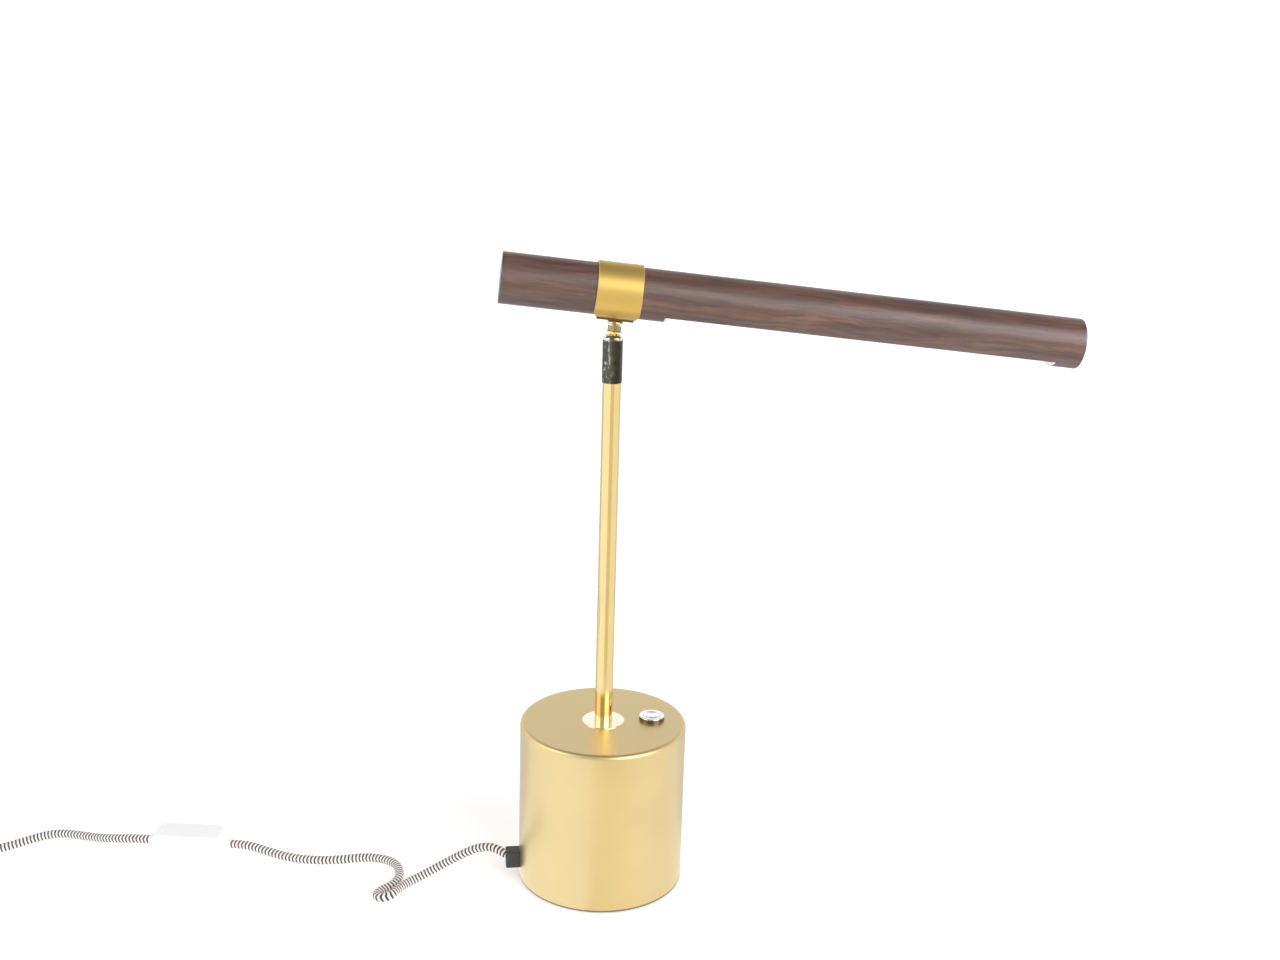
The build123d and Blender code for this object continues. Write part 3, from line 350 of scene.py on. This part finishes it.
def polished_metal(name, color, rough, wave=0.0, lines=None, line_strength=0.05, spread=0.22):
    """Polished plating with faint waviness; lines gives the direction scale of polishing marks."""
    s = Shader(name, Metallic=1.0)
    co = s.coord()
    soft = s.noise(co, 60.0, 2.0, 0.5)
    s.to("Base Color", s.ramp(soft, [(0.25, tint(color, 0.97)), (0.75, tint(color, 1.02))]))
    haze = s.noise(co, 180.0, 4.0, 0.6)
    s.to("Roughness", s.remap(haze, 0.3, 0.7, rough * (1 - spread), rough * (1 + spread)))
    if lines:
        marks = s.noise(s.mapped(co, scale=lines), 1.0, 2.0, 0.5)
        s.bump(marks, line_strength, 0.0001)
    elif wave:
        s.bump(s.noise(co, 230.0, 2.0, 0.5), wave, 0.0002)
    return s.mat


def smoked_nickel(name):
    """Sleeve of the ball joint: smoky polished nickel with cloudy patches, with painted reflections: pale glints on
    its left side, a near-black strip just right of the front, and a painted highlight on its rounded shoulder.
    """
    s = Shader(name, Metallic=1.0)
    co = s.coord()
    xyz = s.separate(co)
    patch = s.noise(s.mapped(co, scale=(1.0, 1.0, 0.45)), 520.0, 3.0, 0.6)
    # painted reflection: pale glints on the left side, where the patches run high
    left = s.remap(xyz[0], -0.0065, 0.0015, 1.0, 0.0, True)
    bright = s.math("MULTIPLY", left, s.remap(patch, 0.54, 0.68, 0.0, 0.75, True))
    col = s.ramp(patch, [(0.3, (0.060, 0.060, 0.042)), (0.7, (0.135, 0.132, 0.095))])
    col = s.mix(bright, col, (0.72, 0.71, 0.62))
    # painted dark reflection: a near-black strip just right of the front centre
    painted_dark_reflection = s.math("MULTIPLY", s.remap(xyz[0], 0.0, 0.0022, 0.0, 0.75, True), s.remap(xyz[0], 0.0040, 0.0062, 1.0, 0.0, True))
    col = s.mix(painted_dark_reflection, col, (0.022, 0.024, 0.020))
    # painted highlight on the left and right of the rounded shoulder, fainter at the front
    shoulder = s.math("MULTIPLY", s.remap(xyz[2], 0.4026, 0.4038, 0.0, 1.0, True),
                      s.remap(s.math("ABSOLUTE", xyz[0]), 0.0016, 0.0044, 0.12, 1.0, True))
    s.to("Base Color", s.mix(shoulder, col, (0.92, 0.86, 0.68)))
    s.to("Roughness", s.remap(patch, 0.3, 0.7, 0.08, 0.20))
    s.bump(patch, 0.10, 0.0003)
    return s.mat


def switch_chrome(name):
    """Chrome of the switch bezel: bright on top; under the rim its wall carries painted shade in dark brown."""
    s = Shader(name, Metallic=1.0)
    co = s.coord()
    xyz = s.separate(co)
    haze = s.noise(co, 180.0, 4.0, 0.6)
    top = s.remap(xyz[2], WALL_Z, WALL_Z + 0.0004, 0.0, 1.0, True)
    # painted shade: dark brown chrome on the wall below the rim
    wall = s.ramp(haze, [(0.3, (0.13, 0.10, 0.075)), (0.7, (0.22, 0.175, 0.13))])
    s.to("Base Color", s.mix(top, wall, (0.96, 0.96, 0.97)))
    s.to("Roughness", s.remap(haze, 0.3, 0.7, 0.05, 0.09))
    return s.mat


def stud_gold(name):
    """Ball stud of one polished gold, its colour painted in lit and shaded copies: a yellow ring at its foot as
    painted highlight, a browner neck as painted shade, and a pale bell under the head as painted reflection, darker at
    its front.
    """
    s = Shader(name, Metallic=1.0)
    co = s.coord()
    xyz = s.separate(co)
    along = s.math("ADD", s.math("MULTIPLY", xyz[0], math.sin(HEAD_TILT)),
                   s.math("MULTIPLY", s.math("SUBTRACT", xyz[2], BALL[2]), math.cos(HEAD_TILT)))
    haze = s.noise(co, 260.0, 3.0, 0.6)
    # painted shade: browner gold on the neck
    neck = s.ramp(haze, [(0.3, (0.30, 0.22, 0.105)), (0.7, (0.46, 0.36, 0.19))])
    # painted highlight: yellow ring at the stud's foot
    col = s.mix(s.remap(along, 0.0069, 0.0073, 0.0, 1.0), (0.88, 0.72, 0.30), neck)
    # painted reflection on the bell: pale on its flanks, darker at the front
    flank_reflection = s.remap(s.math("ABSOLUTE", s.math("SUBTRACT", xyz[0], 0.0012)), 0.0012, 0.0040, 0.0, 1.0, True)
    bell = s.mix(flank_reflection, (0.46, 0.36, 0.18), (0.95, 0.90, 0.74))
    s.to("Base Color", s.mix(s.remap(along, 0.0104, 0.0110, 0.0, 1.0), col, bell))
    s.to("Roughness", s.remap(haze, 0.3, 0.7, 0.10, 0.18))
    s.bump(haze, 0.04, 0.0003)
    return s.mat


def moulded(name, color, rough, grain=900.0, strength=0.15, specular=0.5, cloud=0.06, painted_glow=0.0):
    """Moulded plastic or rubber with a fine spark-eroded skin; an optional faint glow is painted light on a part that
    is no lamp.
    """
    s = Shader(name)
    s.bsdf.inputs["Specular IOR Level"].default_value = specular
    s.bsdf.inputs["Emission Color"].default_value = (1, 1, 1, 1)
    s.bsdf.inputs["Emission Strength"].default_value = painted_glow
    co = s.coord()
    tone = s.noise(co, 45.0, 3.0, 0.5)
    s.to("Base Color", s.ramp(tone, [(0.3, tint(color, 1 - cloud)), (0.7, tint(color, 1 + cloud))]))
    skin = s.noise(co, grain, 3.0, 0.6)
    s.to("Roughness", s.remap(skin, 0.25, 0.75, rough - 0.05, rough + 0.06))
    s.bump(skin, strength, 0.0001)
    return s.mat


def braid(name):
    """Zigzag textile braid: chevron stripes round the cord, each made of plaited yarns."""
    s = Shader(name, Roughness=0.86)
    s.bsdf.inputs["Specular IOR Level"].default_value = 0.2
    s.bsdf.inputs["Sheen Weight"].default_value = 0.25
    s.bsdf.inputs["Sheen Roughness"].default_value = 0.5
    uv = s.separate(s.coord("UV"))
    turn, length = uv[0], uv[1]
    period = 0.0027
    zig = s.math("PINGPONG", s.math("MULTIPLY_ADD", turn, 2.0, -0.17), 0.5)   # 0..0.5, twice round
    phase = s.math("ADD", s.math("DIVIDE", length, period), s.math("MULTIPLY", zig, 0.9))
    wobble = s.noise(s.combine(s.math("MULTIPLY", turn, 14.0), s.math("MULTIPLY", length, 900.0), 0.0), 1.0, 2.0)
    phase = s.math("ADD", phase, s.math("MULTIPLY", s.math("SUBTRACT", wobble, 0.5), 0.10))
    tri = s.math("PINGPONG", phase, 0.5)                                   # 0..0.5 across each stripe
    dark = s.remap(tri, 0.225, 0.315, 0.0, 1.0, True)
    # yarns: two families of helices, over and under
    ya = s.math("ADD", s.math("MULTIPLY", turn, 12.0), s.math("DIVIDE", length, 0.0014))
    yb = s.math("SUBTRACT", s.math("MULTIPLY", turn, 12.0), s.math("DIVIDE", length, 0.0014))
    ra = s.math("PINGPONG", ya, 0.5)
    rb = s.math("PINGPONG", yb, 0.5)
    yarn = s.math("MAXIMUM", ra, rb)
    fuzz = s.noise(s.combine(s.math("MULTIPLY", turn, 60.0), s.math("MULTIPLY", length, 4200.0), 0.0), 1.0, 3.0)
    light = s.ramp(fuzz, [(0.2, (0.86, 0.81, 0.78)), (0.8, (0.96, 0.92, 0.89))])
    black = s.ramp(fuzz, [(0.2, (0.060, 0.047, 0.046)), (0.8, (0.115, 0.093, 0.090))])
    col = s.mix(dark, light, black)
    # painted shade: colour darkened in the grooves between the yarns
    groove_shade = s.remap(yarn, 0.10, 0.32, 0.84, 1.0, True)
    shade = s.combine(groove_shade, groove_shade, groove_shade)
    s.to("Base Color", s.mix(1.0, col, shade, "MULTIPLY"))
    s.bump(s.math("ADD", yarn, s.math("MULTIPLY", fuzz, 0.2)), 0.3, 0.0004)
    return s.mat


def walnut(name):
    """Walnut film round the head: grain along the tube, broad figure, dark streaks and fine pores."""
    s = Shader(name)
    s.bsdf.inputs["Specular IOR Level"].default_value = 1.0
    co = s.coord()
    # to the tube's own axes: x along it, y across, z up from its axis
    shifted = s.node("ShaderNodeVectorMath", operation="SUBTRACT")
    s.link(co, shifted.inputs[0])
    shifted.inputs[1].default_value = (BALL[0] + HEAD_H * math.sin(HEAD_TILT), 0, BALL[2] + HEAD_H * math.cos(HEAD_TILT))
    local = s.separate(s.mapped(shifted.outputs[0], rotation=(0, -HEAD_TILT, 0)))
    x = local[0]
    arc = s.math("MULTIPLY", s.math("ARCTAN2", local[2], s.math("MULTIPLY", local[1], -1.0)), 0.0174)
    flat = s.combine(x, arc, 0.0)
    # slow wander of the grain
    sway = s.math("SUBTRACT", s.noise(s.mapped(flat, scale=(17.0, 30.0, 1)), 1.0, 3.0, 0.55), 0.5)
    bent = s.combine(x, s.math("ADD", arc, s.math("MULTIPLY", sway, 0.011)), 0.0)
    broad = s.noise(s.mapped(bent, scale=(11.0, 160.0, 1)), 1.0, 3.0, 0.55)
    streak = s.noise(s.mapped(bent, location=(3.1, 7.7, 0), scale=(16.0, 350.0, 1)), 1.0, 3.0, 0.6)
    fine = s.noise(s.mapped(bent, location=(1.3, 2.1, 0), scale=(36.0, 2300.0, 1)), 1.0, 3.0, 0.6)
    pores = s.noise(s.mapped(bent, location=(5.5, 9.1, 0), scale=(170.0, 5200.0, 1)), 1.0, 1.0, 0.5)
    col = s.ramp(broad, [(0.32, (0.050, 0.018, 0.011)), (0.45, (0.097, 0.036, 0.023)),
                         (0.56, (0.134, 0.055, 0.037)), (0.70, (0.188, 0.088, 0.063))])
    col = s.mix(s.remap(streak, 0.52, 0.66, 0.0, 0.74, True), col, (0.040, 0.020, 0.016))
    dashes = s.noise(s.mapped(bent, location=(8.2, 4.4, 0), scale=(52.0, 600.0, 1)), 1.0, 2.0, 0.5)
    col = s.mix(s.remap(dashes, 0.57, 0.70, 0.0, 0.66, True), col, (0.030, 0.014, 0.011))
    col = s.mix(s.remap(fine, 0.5, 0.8, 0.0, 0.45), col, (0.060, 0.033, 0.028))
    col = s.mix(s.remap(fine, 0.5, 0.2, 0.0, 0.28), col, (0.25, 0.145, 0.118))
    col = s.mix(s.remap(pores, 0.60, 0.72, 0.0, 0.55), col, (0.032, 0.018, 0.015))
    s.to("Base Color", col)
    s.to("Roughness", s.math("ADD", s.remap(fine, 0.2, 0.8, 0.36, 0.44), s.remap(pores, 0.6, 0.75, 0.0, 0.12)))
    s.bump(s.math("SUBTRACT", s.math("MULTIPLY", fine, 0.4), s.remap(pores, 0.58, 0.72, 0.0, 0.6)), 0.22, 0.00012)
    return s.mat


def fibre_pad(name):
    """Dark felt-like foot pad."""
    s = Shader(name, Roughness=0.92)
    s.bsdf.inputs["Specular IOR Level"].default_value = 0.15
    co = s.coord()
    f = s.noise(s.mapped(co, scale=(1, 1, 3)), 1500.0, 4.0, 0.7)
    s.to("Base Color", s.ramp(f, [(0.3, (0.012, 0.012, 0.012)), (0.75, (0.045, 0.043, 0.042))]))
    s.bump(f, 0.6, 0.0004)
    return s.mat


def cast(name):
    """Rough cast iron with sand texture and a touch of rust in the hollows."""
    s = Shader(name, Metallic=1.0)
    co = s.coord()
    sand = s.noise(co, 700.0, 5.0, 0.65)
    rust = s.remap(s.noise(co, 55.0, 4.0, 0.6), 0.56, 0.72, 0.0, 0.5)
    s.to("Base Color", s.mix(rust, (0.16, 0.16, 0.165), (0.20, 0.10, 0.05)))
    s.to("Roughness", s.remap(sand, 0.3, 0.7, 0.5, 0.7))
    s.bump(sand, 0.7, 0.0005)
    return s.mat


def opal(name):
    """Opal light cover: milky, fine surface, light passes a little way in."""
    s = Shader(name, Roughness=0.32)
    s.bsdf.inputs["Subsurface Weight"].default_value = 0.35
    s.bsdf.inputs["Subsurface Radius"].default_value = (0.004, 0.004, 0.0035)
    co = s.coord()
    milk = s.noise(co, 120.0, 3.0, 0.5)
    s.to("Base Color", s.ramp(milk, [(0.3, (0.83, 0.83, 0.81)), (0.7, (0.89, 0.89, 0.87))]))
    s.bump(s.noise(co, 1600.0, 2.0, 0.5), 0.08, 0.0001)
    return s.mat


def board(name, mask, trace):
    """Circuit board: solder mask with faint copper runs under it."""
    s = Shader(name, Roughness=0.38)
    co = s.coord()
    runs = s.node("ShaderNodeTexBrick")
    runs.inputs["Scale"].default_value = 160.0
    runs.inputs["Mortar Size"].default_value = 0.02
    runs.inputs["Color1"].default_value = (*mask, 1)
    runs.inputs["Color2"].default_value = (*tint(mask, 0.94), 1)
    runs.inputs["Mortar"].default_value = (*trace, 1)
    s.link(co, runs.inputs["Vector"])
    s.to("Base Color", runs.outputs["Color"])
    s.bump(runs.outputs["Fac"], 0.2, 0.0001)
    return s.mat


def hook_tape(name):
    """Woven hook-and-loop tie."""
    s = Shader(name, Roughness=0.9)
    s.bsdf.inputs["Specular IOR Level"].default_value = 0.15
    s.bsdf.inputs["Sheen Weight"].default_value = 0.3
    co = s.coord()
    w = s.node("ShaderNodeTexVoronoi")
    w.inputs["Scale"].default_value = 1500.0
    s.link(co, w.inputs["Vector"])
    s.to("Base Color", s.ramp(w.outputs["Distance"], [(0.1, (0.012, 0.012, 0.013)), (0.7, (0.06, 0.06, 0.062))]))
    s.bump(w.outputs["Distance"], 0.7, 0.0005)
    return s.mat


# ------------------------------------------------------------------ materials
# the base shell: real scuffs near its foot, plus the painted shadow line along its bottom edge
satin = satin_metal("satin_gold", (0.76, 0.585, 0.275), 0.40, scuff_and_shade_edge=(0.30, 0.17, 0.05), lacquer=0.6)
satin_band = satin_metal("satin_gold_band", (0.745, 0.51, 0.15), 0.44, lacquer=0.1)
pole_metal = polished_metal("pole_gold", (0.84, 0.645, 0.30), 0.14, spread=0.03)
# pale gold plating, partly whitened as a painted reflection of the white table
flange_metal = polished_metal("flange_gold_glare", (0.98, 0.93, 0.76), 0.10, spread=0.05)
sleeve_metal = smoked_nickel("smoked_nickel")
stud_metal = stud_gold("stud_gold")
# painted shade: the plate under the band is coloured dark brown to show the shadow gap between band and plate
plate_shade_metal = polished_metal("plate_gap_shade", (0.16, 0.11, 0.05), 0.22, wave=0.03)
chrome = polished_metal("chrome", (0.96, 0.96, 0.97), 0.05, wave=0.02)
cap_metal = satin_metal("cap_grey", (0.16, 0.165, 0.165), 0.30)
bezel_chrome = switch_chrome("bezel_chrome")
steel = satin_metal("zinc_steel", (0.56, 0.56, 0.55), 0.33, spread=0.1, grain=700, grain_strength=0.2)
raw_alu = satin_metal("mill_aluminium", (0.78, 0.79, 0.80), 0.30, grain=900)
iron = cast("cast_iron")
pad = fibre_pad("foot_felt")
black_plastic = moulded("charcoal_plastic", (0.040, 0.037, 0.037), 0.46, grain=1300.0, strength=0.25)
plug_plastic = moulded("plug_plastic", (0.030, 0.030, 0.031), 0.42, grain=1100.0, strength=0.2)
# white driver case with a faint painted glow, so it stays white though it is no lamp
white_plastic = moulded("white_plastic", (0.94, 0.94, 0.935), 0.40, grain=1200.0, strength=0.12, cloud=0.01, painted_glow=0.04)
natural = moulded("natural_plastic", (0.72, 0.70, 0.63), 0.35, grain=600.0, strength=0.05, cloud=0.03)
wire = moulded("wire_skin", (0.62, 0.62, 0.60), 0.4, grain=800.0, strength=0.05, cloud=0.02)
textile = braid("zigzag_braid")
walnut_film = walnut("walnut_film")
light_cover = opal("opal_cover")
led_pcb = board("led_board", (0.78, 0.79, 0.77), (0.62, 0.60, 0.52))
driver_pcb = board("driver_board", (0.05, 0.20, 0.09), (0.12, 0.30, 0.12))
phosphor = moulded("phosphor", (0.86, 0.70, 0.20), 0.25, grain=500.0, strength=0.02, cloud=0.05)
tape = hook_tape("tie_tape")

finish = {
    "foot_pad": pad, "base_plate": steel, "base_plate_screws": steel, "ballast": iron, "base_shell": satin,
    "tie_rod": steel, "rod_nuts": steel, "rod_washers": steel, "pole": pole_metal, "pole_flange": flange_metal,
    "joint_spigot": steel, "joint_sleeve": sleeve_metal, "sleeve_set_screw": steel,
    "joint_spring_washers": steel, "ball_seat": natural, "ball_liner": natural, "ball_stud": stud_metal,
    "head_plate": plate_shade_metal, "clamp_band": satin_band, "head_tube": walnut_film, "end_cap_left": cap_metal,
    "end_cap_right": cap_metal, "led_carrier": raw_alu, "led_board": led_pcb, "led_chips": phosphor,
    "diffuser": light_cover, "stud_saddle": natural, "stud_nut": steel, "head_wire": wire,
    "switch_bezel": bezel_chrome, "switch_nut": chrome, "switch_body": black_plastic, "switch_button": chrome,
    "switch_spring": steel, "cord_grip": black_plastic, "terminal_block": natural, "terminal_screws": steel,
    "supply_tail": wire, "switch_wires": wire, "pole_wire": wire, "cord_lamp_side": textile,
    "driver_case_bottom": white_plastic, "driver_case_top": white_plastic, "driver_screws": steel,
    "driver_sleeves": white_plastic, "driver_board": driver_pcb, "cord_plug_side": textile, "cord_coil": textile,
    "cord_tie": tape, "cord_tail": textile, "plug_body": plug_plastic, "plug_pins": chrome,
}
for node_name, obj in nodes.items():
    obj.data.materials.clear()
    obj.data.materials.append(finish[node_name])
for cord in (cord_a, cord_b):
    cord.data.materials.append(textile)

# ------------------------------------------------------------------ floor, light
floor_mesh = bpy.data.meshes.new("floor")
floor_mesh.from_pydata([(-30, -30, 0), (30, -30, 0), (30, 30, 0), (-30, 30, 0)], [], [(0, 1, 2, 3)])
floor = bpy.data.objects.new("floor", floor_mesh)
scene.collection.objects.link(floor)
floor_mat = Shader("floor_paper", Roughness=0.9)
floor_mat.bsdf.inputs["Base Color"].default_value = (0.88, 0.88, 0.88, 1)
floor_mat.bsdf.inputs["Specular IOR Level"].default_value = 0.1
floor_mat.bsdf.inputs["Emission Color"].default_value = (1, 1, 1, 1)
floor_mat.bsdf.inputs["Emission Strength"].default_value = 0.38
floor_mat.mat.cycles.emission_sampling = "NONE"
floor_mesh.materials.append(floor_mat.mat)


def reflector(name, verts, faces, radiance):
    """Studio card that is seen only in shiny surfaces."""
    mesh = bpy.data.meshes.new(name)
    mesh.from_pydata(verts, [], faces)
    card = bpy.data.objects.new(name, mesh)
    scene.collection.objects.link(card)
    s = Shader(name, Roughness=1.0)
    s.bsdf.inputs["Base Color"].default_value = (0, 0, 0, 1)
    s.bsdf.inputs["Specular IOR Level"].default_value = 0.0
    s.bsdf.inputs["Emission Color"].default_value = (*radiance, 1)
    s.bsdf.inputs["Emission Strength"].default_value = 1.0
    s.mat.cycles.emission_sampling = "NONE"
    mesh.materials.append(s.mat)
    card.visible_camera = False
    card.visible_diffuse = False
    card.visible_shadow = False


def polar(azimuth, r, z):
    """Point at an azimuth from the camera's side (towards +X), a radius and a height."""
    a = math.radians(azimuth)
    return (r * math.sin(a), -r * math.cos(a), z)


# the table as shiny surfaces see it: a little darker in front of the camera and behind the lamp
for card_name, az0, az1, r0, r1, radiance in (
        ("table_left", -112, -14, 0.055, 6.0, (1.19, 1.24, 1.31)),
        ("table_near", -14, 30, 0.055, 0.36, (1.06, 1.04, 0.95)),
        ("table_far", -14, 30, 0.36, 6.0, (0.86, 0.79, 0.62)),
        ("table_right", 30, 112, 0.055, 6.0, (1.06, 1.07, 1.09)),
        ("table_back", 112, 248, 0.055, 6.0, (0.76, 0.77, 0.86))):
    count = int((az1 - az0) / 4)
    card_v, card_f = [], []
    for k in range(count + 1):
        az = az0 + (az1 - az0) * k / count
        card_v += [polar(az, r0, 0.0006), polar(az, r1, 0.0006)]
    for k in range(count):
        card_f.append((2 * k, 2 * k + 1, 2 * k + 3, 2 * k + 2))
    reflector(card_name, card_v, card_f, radiance)

world = bpy.data.worlds.new("studio")
scene.world = world
world.use_nodes = True
wt = world.node_tree
wt.nodes.clear()
w_out = wt.nodes.new("ShaderNodeOutputWorld")
w_bg = wt.nodes.new("ShaderNodeBackground")
w_co = wt.nodes.new("ShaderNodeTexCoord")
w_sep = wt.nodes.new("ShaderNodeSeparateXYZ")
wt.links.new(w_co.outputs["Generated"], w_sep.inputs[0])


def sky_ramp(stops):
    r = wt.nodes.new("ShaderNodeValToRGB")
    r.color_ramp.interpolation = "EASE"
    el = r.color_ramp.elements
    while len(el) < len(stops):
        el.new(0.5)
    for e, (pos, v) in zip(el, stops):
        e.position = pos
        e.color = (v, v, v, 1)
    wt.links.new(w_sep.outputs[2], r.inputs[0])
    return r.outputs[0]


def soft_light(azimuth, elevation, inner, outer, peak):
    """Round soft light at a direction; azimuth from the camera's side towards +X, radii in degrees."""
    a, e = math.radians(azimuth), math.radians(elevation)
    dot = wt.nodes.new("ShaderNodeVectorMath")
    dot.operation = "DOT_PRODUCT"
    wt.links.new(w_co.outputs["Generated"], dot.inputs[0])
    dot.inputs[1].default_value = (math.sin(a) * math.cos(e), -math.cos(a) * math.cos(e), math.sin(e))
    fall = wt.nodes.new("ShaderNodeMapRange")
    fall.interpolation_type = "SMOOTHSTEP"
    fall.inputs["From Min"].default_value = math.cos(math.radians(outer))
    fall.inputs["From Max"].default_value = math.cos(math.radians(inner))
    fall.inputs["To Max"].default_value = peak
    wt.links.new(dot.outputs["Value"], fall.inputs["Value"])
    return fall.outputs[0]


back = sky_ramp([(0.0, 1.06), (0.04, 1.06), (0.09, 0.82), (0.16, 0.88), (0.34, 1.03), (0.50, 1.01), (0.68, 0.50),
                 (0.85, 0.34), (1.0, 0.34)])
front = sky_ramp([(0.0, 0.50), (0.20, 0.54), (0.45, 0.60), (0.62, 0.56), (0.82, 0.42), (1.0, 0.34)])
side = wt.nodes.new("ShaderNodeMapRange")
side.interpolation_type = "SMOOTHSTEP"
side.inputs["From Min"].default_value = -0.35
side.inputs["From Max"].default_value = 0.35
wt.links.new(w_sep.outputs[1], side.inputs["Value"])
w_mix = wt.nodes.new("ShaderNodeMix")
w_mix.data_type = "RGBA"
wt.links.new(side.outputs[0], w_mix.inputs["Factor"])
rgba = [s for s in w_mix.inputs if s.type == "RGBA"]
wt.links.new(front, rgba[0])
wt.links.new(back, rgba[1])
total = [o for o in w_mix.outputs if o.type == "RGBA"][0]
for lamp in (soft_light(40, 27, 12, 31, 3.7), soft_light(-74, 30, 12, 32, 1.5)):
    add = wt.nodes.new("ShaderNodeVectorMath")
    add.operation = "ADD"
    wt.links.new(total, add.inputs[0])
    wt.links.new(lamp, add.inputs[1])
    total = add.outputs["Vector"]
wt.links.new(total, w_bg.inputs["Color"])
w_bg.inputs["Strength"].default_value = 1.0
wt.links.new(w_bg.outputs[0], w_out.inputs[0])
